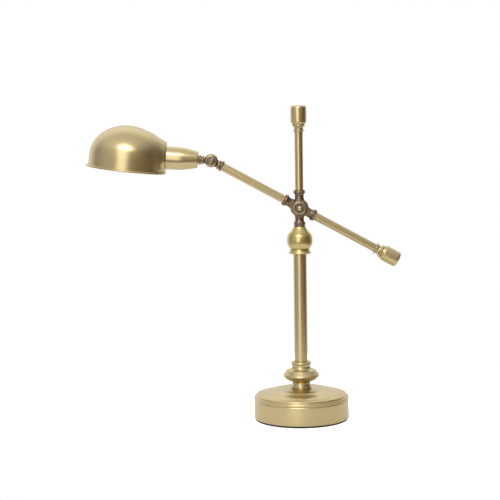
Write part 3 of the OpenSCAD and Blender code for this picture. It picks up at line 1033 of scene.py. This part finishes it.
@dataclass
class CrossJoint:
    """The two half-lapped castings, the ring nut, the bolt and the cap nut."""

    neck_end: float = 28.4
    lip: float = 9.8
    waist: float = 7.1
    sweep: float = 18.4
    socket_radius: float = 6.55
    socket_depth: float = 6.2
    bolt_radius: float = 3.0
    stud_radius: float = 4.6
    play: float = 0.05
    grain: float = 0.25
    passes: int = 10
    slot_size: Point = (1.7, 6, 4.4)
    slot_turn: float = -40.0

    def neck(self, name: str, place: Matrix) -> bpy.types.Object:
        """Turns one neck from the hub out to its flared collar.

        Args:
            name: The neck's name.
            place: Its place, with Z along the neck.

        Returns:
            The neck as a solid.
        """
        end, lip = self.neck_end, self.lip
        outline = [(0, 0), (9.2, 0), (9.2, 9, 2), (8.2, 12, 2), (7.4, 15, 2), (self.waist, 17.5, 1.5),
                   (self.waist, 20, 1), (7.7, 21.6, 0.9), (8.9, 23.4, 0.9), (lip - 0.1, 24.2, 0.5),
                   (lip, 25.2, 0.5), (lip - 0.5, 26.2, 0.4), (8.7, 26.7, 0.3), (8.6, 27.2, 0.2),
                   (9.1, 27.8, 0.3), (8.9, end, 0.3), (0, end)]
        return turned(name, outline, place)

    def casting(
        self, name: str, axis: Vector, hub: Sequence[Point], hub_place: Matrix, rear: bool
    ) -> bpy.types.Object:
        """Casts two opposite necks and a hub, and cuts the lap and the bores.

        Args:
            name: The casting's name.
            axis: The direction of its first neck.
            hub: The hub's outline, from its mating face out.
            hub_place: The hub's place, with Z pointing away from the other casting.
            rear: Whether this is the casting behind.

        Returns:
            The finished casting.
        """
        places = [along(axis, PIVOT), along(-axis, PIVOT)]
        body = turned(name, hub, hub_place)
        necks = [self.neck(f"{name}_neck_{i}", place) for i, place in enumerate(places)]
        face = hub[0][1]
        lap = rod("lap", self.sweep, face - 40, face, hub_place)
        body = joined(body, added=necks, cut=[lap])
        cast(body, self.grain, self.passes)
        start = self.neck_end - self.socket_depth
        radii = (self.socket_radius, self.socket_radius if rear else self.stud_radius)
        bores = [rod("bore", radius, start, self.neck_end + 2, place) for radius, place in zip(radii, places)]
        bolt_hole = rod("bolt_hole", self.bolt_radius + 2 * self.play, -30, 30, hub_place)
        return joined(body, cut=[*bores, bolt_hole], sharp=CASTING_SHARP_ANGLE)

    def build(self) -> None:
        """Builds and dresses every piece of the cross joint."""
        front, rear = facing(-ACROSS, PIVOT), facing(ACROSS, PIVOT)
        face, back = 0.6, 0.2
        hub_end = 9.8
        front_hub = [(0, face), (12.5, face, 0.3), (12.5, 3.4, 0.3), (11.7, 4.1, 0.4), (12.5, 4.8, 0.4),
                     (12.5, 8.6, 0.6), (11.6, hub_end, 0.4), (0, hub_end)]
        rear_hub = [(0, back), (13.6, back, 0.3), (14.5, 1.2, 0.5), (14.5, 2.6, 0.4), (13.7, 3.3, 0.4),
                    (14.3, 4.2, 0.6), (14.3, 7.6, 0.8), (12.4, 9.6, 1), (0, 9.6)]
        stay = self.casting("column_casting", UP, front_hub, front, rear=False)
        fit(stay, Body.UPPER, ANTIQUE_BRONZE, "column_casting")
        swing = self.casting("arm_casting", ARM_AXIS, rear_hub, rear, rear=True)
        fit(swing, Body.ARM, ANTIQUE_BRONZE, "arm_casting")
        self.hardware(front, rear, hub_end)

    def hardware(self, front: Matrix, rear: Matrix, hub_end: float) -> None:
        """Builds the ring nut, bolt, washers and cap nut.

        Args:
            front: The place that faces the front.
            rear: The place that faces the back.
            hub_end: How far the front hub's face is from the pivot, in millimetres.
        """
        nut_place = raised(front, hub_end)
        ring = [(7.1, 0), (10.4, 0, 0.2), (10.4, 1.2, 0.3), (9.6, 1.6, 0.3), (9.4, 2.9, 0.6),
                (8.6, 3.6, 0.4), (7.9, 3.5, 0.3), (7.1, 2.5, 0.4)]
        nut = turned("ring_nut", ring, nut_place, closed=True)
        turn = Matrix.Rotation(math.radians(self.slot_turn), 4, "Z")
        outward = Matrix.Translation((0, -9.2 * MM, 3.2 * MM))
        slot = mesh_box("slot", self.slot_size, nut_place @ (turn @ outward))
        fit(joined(nut, cut=[slot]), Body.UPPER, KNUCKLE_BRONZE, "ring_nut")
        washer = tube("bolt_washer", 6.6, self.bolt_radius + self.play, 0, 1, nut_place)
        fit(washer, Body.UPPER, DARK_STEEL, "bolt_washer")
        shank_end = span("pivot_bolt", rear)[1]
        head = arc((0, hub_end + 3.6), 4.4, 90, -40, 24)
        bolt = [(0, -shank_end), (self.bolt_radius, -shank_end, 0.3), (self.bolt_radius, hub_end + 0.8, 0.1)]
        bolt += head[::-1]
        bolt[-1] = (0, bolt[-1][1])
        fit(turned("pivot_bolt", bolt, front), Body.UPPER, BOLT_BRASS, "pivot_bolt")
        hub_washer = tube("hub_washer", 7, self.bolt_radius + self.play, *span("hub_washer", rear), rear)
        fit(hub_washer, Body.UPPER, ZINC_STEEL, "hub_washer")
        spring = tube("spring_washer", 6.4, self.bolt_radius + self.play, *span("spring_washer", rear), rear)
        fit(spring, Body.UPPER, ZINC_STEEL, "spring_washer")
        start, end = span("cap_nut", rear)
        dome = turned("cap_dome", [(0, start + 1), (5.3, start + 1), (5.3, start + 4.4, 0.3),
                                   *arc((0, start + 3.6), 5.3, 10, 90)], rear)
        cap = joined(hexagon("cap_nut", 11.2, start, start + 4.4, rear), added=[dome])
        fit(cap, Body.UPPER, TURNED_BRASS, "cap_nut")


def mesh_box(name: str, size: Point, place: Matrix) -> bpy.types.Object:
    """Makes a block centred on a place, as a tool for cutting slots.

    Args:
        name: The block's name.
        size: Its three sides, in millimetres.
        place: The place that it is centred on.

    Returns:
        The block.
    """
    x, y, z = (s / 2 for s in size)
    points = [(i * x, j * y, k * z) for i in (-1, 1) for j in (-1, 1) for k in (-1, 1)]
    faces = [(0, 1, 3, 2), (4, 6, 7, 5), (0, 4, 5, 1), (2, 3, 7, 6), (0, 2, 6, 4), (1, 5, 7, 3)]
    return mesh_piece(name, points, faces, place)


# ---------- Rods and finials ----------


@dataclass
class Finial:
    """A plated disc, a ferrule and a knob at the end of a rod."""

    prefix: str
    body: Body
    rod_place: Matrix
    has_plug: bool = False

    def build(self) -> None:
        """Builds and dresses the disc, the ferrule and the knob."""
        start, disc_end = span(f"{self.prefix}_disc", self.rod_place)
        place = raised(self.rod_place, start)
        disc_t = disc_end - start
        disc = [(3.1, 0, 0.2), (10.1, 0.1, 0.3), (10.5, 0.55, 0.3), (10.1, disc_t, 0.3), (3.1, disc_t, 0.2)]
        name = f"{self.prefix}_disc"
        fit(turned(name, disc, place, closed=True), self.body, PLATED_DISC, name)
        ferrule = [(0, disc_t), (7.2, disc_t, 0.3), *arc((6.9, 2.6), 1, -60, 60), (7.2, 4.2, 0.4),
                   (7.3, 5.4, 0.8), (8, 7, 0.8), (9.4, 8.3, 0.4), *arc((9.2, 9.6), 1.2, -50, 60),
                   (9.3, 11.2, 0.2), (0, 11.2)]
        name = f"{self.prefix}_ferrule"
        fit(turned(name, ferrule, place), self.body, TURNED_BRASS, name)
        self.knob(place)

    def knob(self, place: Matrix) -> None:
        """Builds the knob, and its plug where it has one.

        Args:
            place: The finial's place, at the start of its disc.
        """
        name = f"{self.prefix}_knob"
        end = span(name, place)[1]
        outline = [(0, 11.2), (9.8, 11.2, 0.2), (10.6, 12, 0.5), *arc((8.9, 16.2), 3.6, -50, 0),
                   (12.7, 25.2, 4), (12.6, 32.2, 2), *arc((8.5, end - 4), 4, 0, 80, 16), (6, end - 0.02, 2),
                   (0, end)]
        knob = turned(name, outline, place)
        if self.has_plug:
            knob = joined(knob, cut=[rod("plug_hole", 2, end - 2, end + 1, place)])
            low, high = span(f"{self.prefix}_plug", place)
            plug = turned("tail_plug", [(0, low), (1.95, low), (1.95, high, 0.4), (1.1, high, 0.2),
                                        (0.9, high - 0.6, 0.2), (0, high - 0.6)], place)
            fit(plug, self.body, DARK_STEEL, "tail_plug")
        fit(knob, self.body, CUP_BRASS, name)


@dataclass
class Rods:
    """The upper rod, the arm tube, the tail tube and the swivel washer."""

    radius: float = 6.5
    wall: float = 1.0

    def build(self) -> None:
        """Builds and dresses the tubes, then the finials on two of them."""
        upper, arm, tail = along(UP, PIVOT), along(ARM_AXIS, PIVOT), along(-ARM_AXIS, PIVOT)
        for name, place, body in (
            ("upper_rod", upper, Body.UPPER), ("arm_tube", arm, Body.ARM), ("tail_tube", tail, Body.ARM)
        ):
            pipe = tube(name, self.radius, self.radius - self.wall, *span(name, place), place)
            fit(pipe, body, TUBE_BRASS, name)
        washer = tube("swivel_washer", 9.2, 4.55, *span("swivel_washer", COLUMN), COLUMN)
        fit(washer, Body.UPPER, DARK_STEEL, "swivel_washer")
        Finial("upper", Body.UPPER, upper).build()
        Finial("tail", Body.ARM, tail, has_plug=True).build()


# ---------- Knuckle ----------


@dataclass
class KnuckleJoint:
    """The hinge between the arm and the head."""

    radius: float = 10.65
    face: float = 0.5
    pin: float = 2.5
    grain: float = 0.22
    passes: int = 6
    slot_size: Point = (1.7, 14, 2.4)
    slot_turn: float = -35.0

    def build(self) -> None:
        """Builds and dresses the two halves and their hardware."""
        to_arm, to_head = along(-ARM_AXIS, KNUCKLE), along(HEAD_AXIS, KNUCKLE)
        front, rear = facing(-ACROSS, KNUCKLE), facing(ACROSS, KNUCKLE)
        self.arm_half(to_arm, rear)
        self.head_half(to_head, front, rear)
        self.hardware(front, rear)
        self.collar(to_arm)
        self.ribs(to_head, rear)

    def arm_half(self, to_arm: Matrix, rear: Matrix) -> None:
        """Casts the half that the arm carries, with its grooved neck.

        Args:
            to_arm: The knuckle's place, with Z along the arm.
            rear: The place that faces the back.
        """
        boss = turned("knuckle_arm_half", [(0, 0.2), (self.radius, 0.2, 0.2), (self.radius, 4.8, 0.6),
                                           (9.6, 6, 0.6), (0, 6)], rear)
        stem = turned("stem", [(0, 0), (6.2, 0), (6.2, 9.6, 0.5), (5.4, 11, 0.6), (6.4, 12, 0.4),
                               (7.6, 12.4, 0.4), (8, 13.4, 0.6), (7.6, 14.8, 0.6), (6.4, 15.5, 0.2),
                               (0, 15.6)], to_arm)
        clear = rod("clear", self.radius + 0.5, -20, 0.2, rear)
        piece = cast(joined(boss, added=[joined(stem, cut=[clear])]), self.grain, self.passes)
        fit(piece, Body.ARM, KNUCKLE_BRONZE, "knuckle_arm_half")

    def head_half(self, to_head: Matrix, front: Matrix, rear: Matrix) -> None:
        """Casts the half that the head carries, with the recess for the screw.

        Args:
            to_head: The knuckle's place, with Z along the head.
            front: The place that faces the front.
            rear: The place that faces the back.
        """
        boss = turned("knuckle_head_half", [(0, self.face), (self.radius, self.face, 0.2),
                                            (self.radius, 2.4, 1.2), (10.1, 4.2, 1.2), (8.9, 5.5, 1.2),
                                            (7.4, 6.3, 0.4), (0, 6.3)], front)
        stem = rod("stem", 5.6, 0, 9.2, to_head)
        clear = rod("clear", self.radius + 0.5, -self.face, 20, rear)
        recess = turned("recess", [(0, 4.9), (6.3, 4.9, 0.3), (6.5, 5.8, 0.3), (7, 7), (0, 7)], front)
        piece = joined(boss, added=[joined(stem, cut=[clear])], cut=[recess])
        fit(cast(piece, self.grain, self.passes), Body.HEAD, KNUCKLE_BRONZE, "knuckle_head_half")

    def hardware(self, front: Matrix, rear: Matrix) -> None:
        """Builds the slotted screw, the washer and the nut.

        Args:
            front: The place that faces the front.
            rear: The place that faces the back.
        """
        end = span("knuckle_screw", rear)[1]
        screw = [(0, -end), (self.pin, -end, 0.3), (self.pin, 5.0), (5.9, 5.0, 0.2), (5.9, 5.6, 0.3),
                 (4.4, 6.0, 0.6), (0, 6.1)]
        slot_place = raised(front @ Matrix.Rotation(math.radians(self.slot_turn), 4, "Z"), screw[-1][1])
        slot = mesh_box("slot", self.slot_size, slot_place)
        fit(joined(turned("knuckle_screw", screw, front), cut=[slot]), Body.HEAD, DARK_STEEL, "knuckle_screw")
        washer = tube("knuckle_washer", 6, self.pin + 0.05, *span("knuckle_washer", rear), rear)
        fit(washer, Body.HEAD, ZINC_STEEL, "knuckle_washer")
        start, finish = span("knuckle_nut", rear)
        nut = hexagon("knuckle_nut", 8.1, start, finish, rear)
        fit(nut, Body.HEAD, TURNED_BRASS, "knuckle_nut")

    def collar(self, to_arm: Matrix) -> None:
        """Builds the dark ring that holds the arm tube.

        Args:
            to_arm: The knuckle's place, with Z along the arm.
        """
        ring = [(3.2, 15.6), (6.4, 15.6, 0.2), (6.5, 16.5, 0.3), (8, 16.9, 0.4), (8.6, 17.7, 0.4),
                (8.6, 19.9, 0.4), (8, 20.7, 0.4), (6.55, 20.7, 0.2), (6.55, 17.8), (3.2, 17.8)]
        fit(turned("arm_collar", ring, to_arm, closed=True), Body.ARM, ANTIQUE_BRONZE, "arm_collar")

    def ribs(self, to_head: Matrix, rear: Matrix) -> None:
        """Builds the ribbed neck between the knuckle and the cup.

        Args:
            to_head: The knuckle's place, with Z along the head.
            rear: The place that faces the back.
        """
        start = span("ribbed_neck", to_head)[0]
        outline = [(0, min(start, 9.2)), (5, min(start, 9.2)), (5.0, 9.5), *arc((5, 10.4), 0.9, -60, 60),
                   (4.7, 11.6, 0.3), *arc((5.9, 13.4), 1.2, -70, 70), (5.3, 15.3, 0.4),
                   *arc((6.4, 17.6), 1.6, -70, 70), (6.1, 19.6, 0.3), (6.6, 20.8, 0.2), (0, 20.8)]
        clear = [rod("clear_all", self.radius, -20, 20, rear),
                 rod("clear_rear", self.radius + 0.5, -self.face, 20, rear)]
        fit(joined(turned("ribbed_neck", outline, to_head), cut=clear), Body.HEAD, KNUCKLE_BRONZE,
            "ribbed_neck")


# ---------- Head ----------


@dataclass
class LampHolder:
    """The socket cup and the lamp holder inside it."""

    cup_radius: float = 18.3
    wall: float = 1.2
    thread: float = 12.75
    thread_depth: float = 0.5
    pitch: float = 3.63

    def build(self) -> None:
        """Builds and dresses the cup, the holder's halves, its ring and its threaded shell."""
        place = along(HEAD_AXIS, KNUCKLE)
        start, mouth = span("socket_cup", place)
        fit(turned("socket_cup", self.cup(start, mouth), place, closed=True), Body.HEAD, CUP_BRASS,
            "socket_cup")
        low, high = span("socket_base", place)
        base = [(3.4, low, 0.2), (14.2, low, 0.6), (14.2, high), (3.4, high)]
        fit(turned("socket_base", base, place, closed=True), Body.HEAD, PHENOLIC, "socket_base")
        low, high = span("socket_sleeve", place)
        skirt = [(13.6, low), (16.6, low, 0.3), (16.6, mouth - 0.3, 0.3), (14, mouth - 0.3, 0.1),
                 (14, high, 0.6), (13.6, high, 0.2)]
        fit(turned("socket_sleeve", skirt, place, closed=True), Body.HEAD, PHENOLIC, "socket_sleeve")
        fit(self.shell(*span("screw_shell", place), place), Body.HEAD, CONTACT_BRASS, "screw_shell")
        fit(self.ring(*span("shade_ring", place), place), Body.HEAD, PHENOLIC, "shade_ring")

    def cup(self, start: float, mouth: float) -> list[Point]:
        """Gives the cup's outline, out and back inside.

        Args:
            start: Where its closed end is.
            mouth: Where its mouth is.

        Returns:
            The corners of the outline.
        """
        outer = [(13, 0.6, 0.8), (14.9, 9, 6), (16.5, 17, 6), (17.7, 24, 5), (18.1, 28, 3),
                 (self.cup_radius - 0.1, 32, 3)]
        inner = [(r - self.wall, h + 1.2, s) for r, h, s in outer[::-1]]
        outside = [(r, start + h, s) for r, h, s in outer]
        inside = [(r, start + h, s) for r, h, s in inner]
        lip = [(self.cup_radius, mouth, 0.4), (self.cup_radius - self.wall, mouth, 0.4)]
        return [(4.45, start), (12.2, start, 0.5), *outside, *lip, *inside, (11, start + 1.6, 0.5),
                (4.45, start + 1.6)]

    def shell(self, low: float, high: float, place: Matrix) -> bpy.types.Object:
        """Rolls the threaded shell, with a true helix.

        Args:
            low: Where it starts.
            high: Where it ends.
            place: The head's place.

        Returns:
            The shell.
        """
        sides, steps, sheet = 96, 90, 0.3
        points, faces = [], []
        for layer in (0.0, sheet):
            for row in range(steps + 1):
                height = low + (high - low) * row / steps
                ends = min(1.0, row / 8, (steps - row) / 8)
                for side in range(sides):
                    turn = 2 * math.pi * side / sides
                    wave = math.cos(2 * math.pi * height / self.pitch - turn)
                    radius = self.thread + layer + self.thread_depth * wave * ends
                    points.append((radius * math.cos(turn), radius * math.sin(turn), height))
        rows = steps + 1
        order = [*range(rows), *range(2 * rows - 1, rows - 1, -1)]
        for lower, upper in zip(order, order[1:] + order[:1]):
            for side in range(sides):
                after = (side + 1) % sides
                faces.append((lower * sides + side, lower * sides + after, upper * sides + after,
                              upper * sides + side))
        return mesh_piece("screw_shell", points, faces, place)

    def ring(self, low: float, high: float, place: Matrix) -> bpy.types.Object:
        """Makes the grooved ring that clamps the shade on the holder.

        Args:
            low: Where it starts.
            high: Where it ends.
            place: The head's place.

        Returns:
            The ring.
        """
        outline = [(14.05, low, 0.3), (19, low, 0.4), (19, high, 0.8), (14.05, high, 0.4)]
        ring = turned("shade_ring", outline, place, closed=True)
        grooves = []
        for turn in range(0, 360, 30):
            spin = place @ Matrix.Rotation(math.radians(turn), 4, "Z") @ Matrix.Translation((19.4 * MM, 0, 0))
            grooves.append(rod(f"groove_{turn}", 1.6, low - 1, high + 1, spin))
        return joined(ring, cut=grooves)


@dataclass
class Shade:
    """The half-dome shade, whose side neck flows out of the dome."""

    reach: float = 133.3
    cant: float = 2.8
    axis_height: float = 23.55
    radius: float = 60.4
    height: float = 70.9
    straight: float = 20.0
    low: float = 2.4
    wall: float = 1.0
    neck_reach: float = 61.5
    neck_radius: float = 24.8
    neck_spread: float = 0.5
    neck_edge: float = 2.2
    shoulder: float = 5.0
    pinch_end: float = 36.0
    pinch_length: float = 16.0
    pinch_depth: float = 12.0
    wall_rows: int = 96

    def place(self) -> Matrix:
        """Gives the shade's place: its origin at the rim's plane, Z up its axis.

        Returns:
            The place as a matrix.
        """
        lean = Matrix.Rotation(math.radians(self.cant), 3, ACROSS)
        side = ACROSS.cross(HEAD_AXIS)
        upward = lean @ (-side if side.z < 0 else side)
        origin = KNUCKLE + HEAD_AXIS * self.reach * MM - upward * self.axis_height * MM
        return along(upward, origin)

    def dome_distance(self, ray: Vector) -> float:
        """Gives how far the dome is from its middle along a ray, in millimetres.

        Args:
            ray: A unit vector in the shade's place.

        Returns:
            The distance to the dome's outer face.
        """
        flat = math.hypot(ray.x, ray.y)
        if ray.z < 0:
            return self.radius / flat
        return 1 / math.hypot(flat / self.radius, ray.z / (self.height - self.straight))

    def neck_distance(self, ray: Vector) -> float:
        """Gives how far the side neck reaches along a ray from the dome's middle, in millimetres.

        Args:
            ray: A unit vector in the shade's place.

        Returns:
            The distance to the neck's wall or end, softened where they meet, or 0 where there is no neck.
        """
        cant = math.radians(self.cant)
        axis = Vector((math.cos(cant), 0, math.sin(cant)))
        tip = ray.dot(axis)
        if tip < 0.05:
            return 0.0
        start = Vector((0, 0, self.straight - self.axis_height))
        ahead = start.dot(axis)
        wide = self.neck_radius + self.neck_spread * self.neck_reach
        curve = 1 + self.neck_spread**2
        a = 1 - curve * tip**2
        b = 2 * start.dot(ray) - 2 * curve * ahead * tip + 2 * self.neck_spread * wide * tip
        c = start.length_squared - curve * ahead**2 + 2 * self.neck_spread * wide * ahead - wide**2
        inside = b * b - 4 * a * c
        end = (self.neck_reach - ahead) / tip
        if inside < 0:
            return end
        side = 2 * c / (-b - math.sqrt(inside))
        if side <= 0:
            return end
        fade = min(max((self.pinch_end - (ahead + side * tip)) / self.pinch_length, 0), 1)
        side -= self.pinch_depth * fade * fade * (3 - 2 * fade)
        return min(side, end) - overlap(side - end, self.neck_edge)

    def distance(self, ray: Vector) -> float:
        """Gives how far the shade's outer face is from the dome's middle along a ray, in millimetres."""
        dome, neck = self.dome_distance(ray), self.neck_distance(ray)
        return max(dome, neck) + overlap(abs(dome - neck), self.shoulder)

    def build(self) -> None:
        """Builds and dresses the dome with its neck, and the rolled rim."""
        place = self.place()
        bowl = self.bowl(place)
        head = along(HEAD_AXIS, KNUCKLE)
        mouth = span("socket_cup", head)[1]
        hole = rod("holder_hole", 14.2, mouth - 4, mouth + 12, head)
        fit(joined(bowl, cut=[hole]), Body.HEAD, SHADE_BRASS, "shade")
        lip = self.radius + 3.5
        rim = [(self.radius - 1.4, 3.3, 0.3), (self.radius - 1.4, 0.9, 0.3), (self.radius + 0.6, 0.1, 0.5),
               *arc((lip - 1.6, 1.6), 1.6, -80, 75, 16), (self.radius + 0.9, 3.0, 0.2),
               (self.radius + 0.05, 3.7, 0.3)]
        fit(turned("shade_rim", rim, place, closed=True, sides=2 * SIDES), Body.HEAD, SHADE_BRASS, "shade")

    def bowl(self, place: Matrix) -> bpy.types.Object:
        """Builds the spun wall of the shade, outside and inside.

        Args:
            place: The shade's place.

        Returns:
            The bowl as one closed solid.
        """
        near = [math.radians(a / 2) for a in range(-100, 100)]
        far = [math.radians(50 + a * 2.5) for a in range(104)]
        turns = near + far
        crown = [math.radians(a) for a in (48, 50.5, 53, 56, 59, 62, 65, 68, 71, 74, 77, 80, 83, 86, 88.2)]
        columns = len(turns)
        points: list[tuple] = []
        for inset in (0.0, self.wall):
            for row in range(self.wall_rows):
                for turn in turns:
                    lowest = self.lowest(turn)
                    lift = lowest + (crown[0] - lowest) * row / self.wall_rows
                    points.append(self.spot(turn, lift, inset))
            points += [self.spot(turn, lift, inset) for lift in crown for turn in turns]
            points.append((0.0, 0.0, self.height - inset))
        rows = self.wall_rows + len(crown)
        layer = rows * columns + 1
        faces: list[tuple] = []
        for base in (0, layer):
            for row in range(rows - 1):
                for i in range(columns):
                    j = (i + 1) % columns
                    low, high = base + row * columns, base + (row + 1) * columns
                    faces.append((low + i, low + j, high + j, high + i))
            last, peak = base + (rows - 1) * columns, base + rows * columns
            faces += [(last + i, last + (i + 1) % columns, peak) for i in range(columns)]
        faces += [(i, (i + 1) % columns, layer + (i + 1) % columns, layer + i) for i in range(columns)]
        return mesh_piece("shade", points, faces, place)

    def ray(self, turn: float, lift: float) -> Vector:
        """Gives the unit vector at a turn about the axis and a lift above the level."""
        return Vector((math.cos(lift) * math.cos(turn), math.cos(lift) * math.sin(turn), math.sin(lift)))

    def spot(self, turn: float, lift: float, inset: float) -> tuple[float, float, float]:
        """Gives the point of the wall on a ray, an inset inside the outer face.

        Args:
            turn: The turn about the axis, in radians.
            lift: The lift above the level, in radians.
            inset: How far it is inside the outer face, in millimetres.

        Returns:
            The point in the shade's place, in millimetres.
        """
        ray = self.ray(turn, lift)
        point = ray * (self.distance(ray) - inset)
        return point.x, point.y, point.z + self.straight

    @cache
    def lowest(self, turn: float) -> float:
        """Finds the lift at which the wall meets the rim, at a turn about the axis.

        Args:
            turn: The turn about the axis, in radians.

        Returns:
            The lift, in radians.
        """
        high, low = 0.0, math.radians(-40)
        for _ in range(30):
            middle = (high + low) / 2
            ray = self.ray(turn, middle)
            if ray.z * self.distance(ray) + self.straight > self.low:
                high = middle
            else:
                low = middle
        return high

    # Each shade is its own key, so that lowest() keeps what it found
    __hash__ = object.__hash__


def overlap(gap: float, reach: float) -> float:
    """Gives how much two surfaces swell where they come within a reach of each other."""
    return max(reach - abs(gap), 0.0) ** 2 / (4 * reach)


# ---------- CAD nodes that stay ----------

KEPT = {
    CAST_IRON: ("base_weight",),
    ZINC_STEEL: ("base_nut", "base_washer", "pipe_nut", "swivel_nut", "cup_nut", "lamp_pipe", "swivel_stud"),
    CONTACT_BRASS: ("centre_contact", "terminal_screws"),
    INSULATION: ("column_lead", "arm_lead", "head_lead"),
}


def dress_kept_nodes() -> None:
    """Gives the CAD nodes that stay their own finishes."""
    for finish, nodes in KEPT.items():
        for node in nodes:
            mesh = frame["nodes"][node].data
            mesh.materials.clear()
            mesh.materials.append(finish.material())
            log.info("%s: kept, %s", node, finish.name)


# ---------- Studio ----------


@dataclass
class Studio:
    """The pale floor, the soft lights and the camera."""

    camera_place: Point = (-0.0798, -2.400, 0.530)
    pitch: float = 83.94
    roll: float = -0.84
    lens: float = 108.6
    floor_radius: float = 0.6
    aim: Point = (0, 0, 0.3)
    ambient: float = 0.035
    warm_glow: float = 0.10
    warm_tint: Colour = (1.0, 0.64, 0.32)

    def build(self) -> None:
        """Builds the whole studio."""
        bpy.context.scene.view_settings.view_transform = "Standard"
        self.floor()
        self.room()
        self.panel("key", (-0.24, -1.25, 1.65), (1.25, 0.42), 6.4, (1.0, 0.98, 0.95))
        self.panel("key_core", (-0.30, -1.22, 1.62), (0.4, 0.2), 4.2, (1.0, 1.0, 1.0))
        self.panel("soft_wall", (-0.75, -2.7, 0.75), (1.4, 2.4), 20.0, (1.0, 0.98, 0.94))
        self.camera()

    def camera(self) -> None:
        """Sets up the camera."""
        data = bpy.data.cameras.new("camera")
        data.lens = self.lens
        data.sensor_width = 36
        camera = bpy.data.objects.new("camera", data)
        pitch = Matrix.Rotation(math.radians(self.pitch), 4, "X")
        roll = Matrix.Rotation(math.radians(self.roll), 4, "Z")
        camera.matrix_world = Matrix.Translation(self.camera_place) @ (pitch @ roll)
        bpy.context.scene.collection.objects.link(camera)
        bpy.context.scene.camera = camera

    def panel(self, name: str, place: Point, size: Point, power: float, colour: Colour) -> None:
        """Hangs one soft light panel.

        Args:
            name: The light's name.
            place: Where it hangs, in metres.
            size: Its width and height, in metres.
            power: Its power, in watts.
            colour: Its colour.
        """
        data = bpy.data.lights.new(name, "AREA")
        data.shape = "RECTANGLE"
        data.size, data.size_y = size
        data.energy = power
        data.color = colour
        light = bpy.data.objects.new(name, data)
        heading = Vector(self.aim) - Vector(place)
        light.matrix_world = Matrix.Translation(place) @ heading.to_track_quat("-Z", "Y").to_matrix().to_4x4()
        bpy.context.scene.collection.objects.link(light)

    def floor(self) -> None:
        """Lays the pale floor."""
        edge = self.floor_radius / MM
        floor = turned("floor", [(0, 0), (edge, 0)], COLUMN)
        paint = bpy.data.materials.new("floor_white")
        paint.use_nodes = True
        shader = paint.node_tree.nodes["Principled BSDF"]
        shader.inputs["Base Color"].default_value = (0.9, 0.9, 0.9, 1)
        shader.inputs["Roughness"].default_value = 0.9
        shader.inputs["Emission Color"].default_value = (1, 1, 1, 1)
        bench = Bench(paint.node_tree)
        seen = bench.add("LightPath").outputs["Is Camera Ray"]
        glow = bench.ramp(seen, 0.0, 1.0, (0.05, 0.7))
        bench.feed(shader.inputs["Emission Strength"], glow)
        floor.data.materials.append(paint)

    def room(self) -> None:
        """Lights the room: white behind the lamp, dimmer at the left, dark at the right."""
        world = bpy.data.worlds.new("room")
        world.use_nodes = True
        world.node_tree.nodes.clear()
        bpy.context.scene.world = world
        bench = Bench(world.node_tree)
        heading = bench.add("SeparateXYZ")
        bench.feed(heading.inputs[0], bench.add("TexCoord").outputs["Generated"])
        across, ahead, high = (heading.outputs[axis] for axis in "XYZ")
        behind = bench.ramp(ahead, 0.2, 0.8, (0.0, 0.88))
        toward = bench.math("ADD", bench.math("MULTIPLY", across, -0.25),
                            bench.math("MULTIPLY", ahead, -0.97))
        front = bench.math("MULTIPLY", bench.ramp(toward, 0.0, 1.0, (0.0, 0.33)),
                           bench.ramp(high, -0.3, -0.08))
        left = bench.ramp(across, -0.2, -0.9, (0.0, 0.33))
        above = bench.ramp(high, 0.3, 0.95, (0.0, 0.75))
        light = bench.math("ADD", bench.math("ADD", behind, front), bench.math("ADD", left, above))
        light = bench.math("ADD", light, self.ambient)
        warm = bench.math("MULTIPLY", bench.ramp(across, 0.1, 0.6), bench.ramp(ahead, 0.5, -0.2))
        warm = bench.math("MULTIPLY", warm, bench.ramp(high, 0.6, 0.2))
        light = bench.math("ADD", light, bench.math("MULTIPLY", warm, self.warm_glow))
        colour = bench.blend(warm, (1.0, 1.0, 1.0), self.warm_tint)
        lit = bench.add("Background")
        bench.feed(lit.inputs["Color"], colour)
        bench.feed(lit.inputs["Strength"], light)
        white = bench.add("Background")
        white.inputs["Color"].default_value = (1, 1, 1, 1)
        choice = bench.add("MixShader")
        bench.feed(choice.inputs[0], bench.add("LightPath").outputs["Is Camera Ray"])
        bench.feed(choice.inputs[1], lit.outputs[0])
        bench.feed(choice.inputs[2], white.outputs[0])
        bench.feed(bench.add("OutputWorld").inputs["Surface"], choice.outputs[0])


def main() -> None:
    """Builds the lamp piece by piece, then the studio."""
    logging.basicConfig(level=logging.INFO, format="%(message)s")
    for part in (Base(), Column(), CrossJoint(), Rods(), KnuckleJoint(), LampHolder(), Shade()):
        log.info("building %s", type(part).__name__)
        part.build()
    dress_kept_nodes()
    Studio().build()


if __name__ == "__main__":
    main()
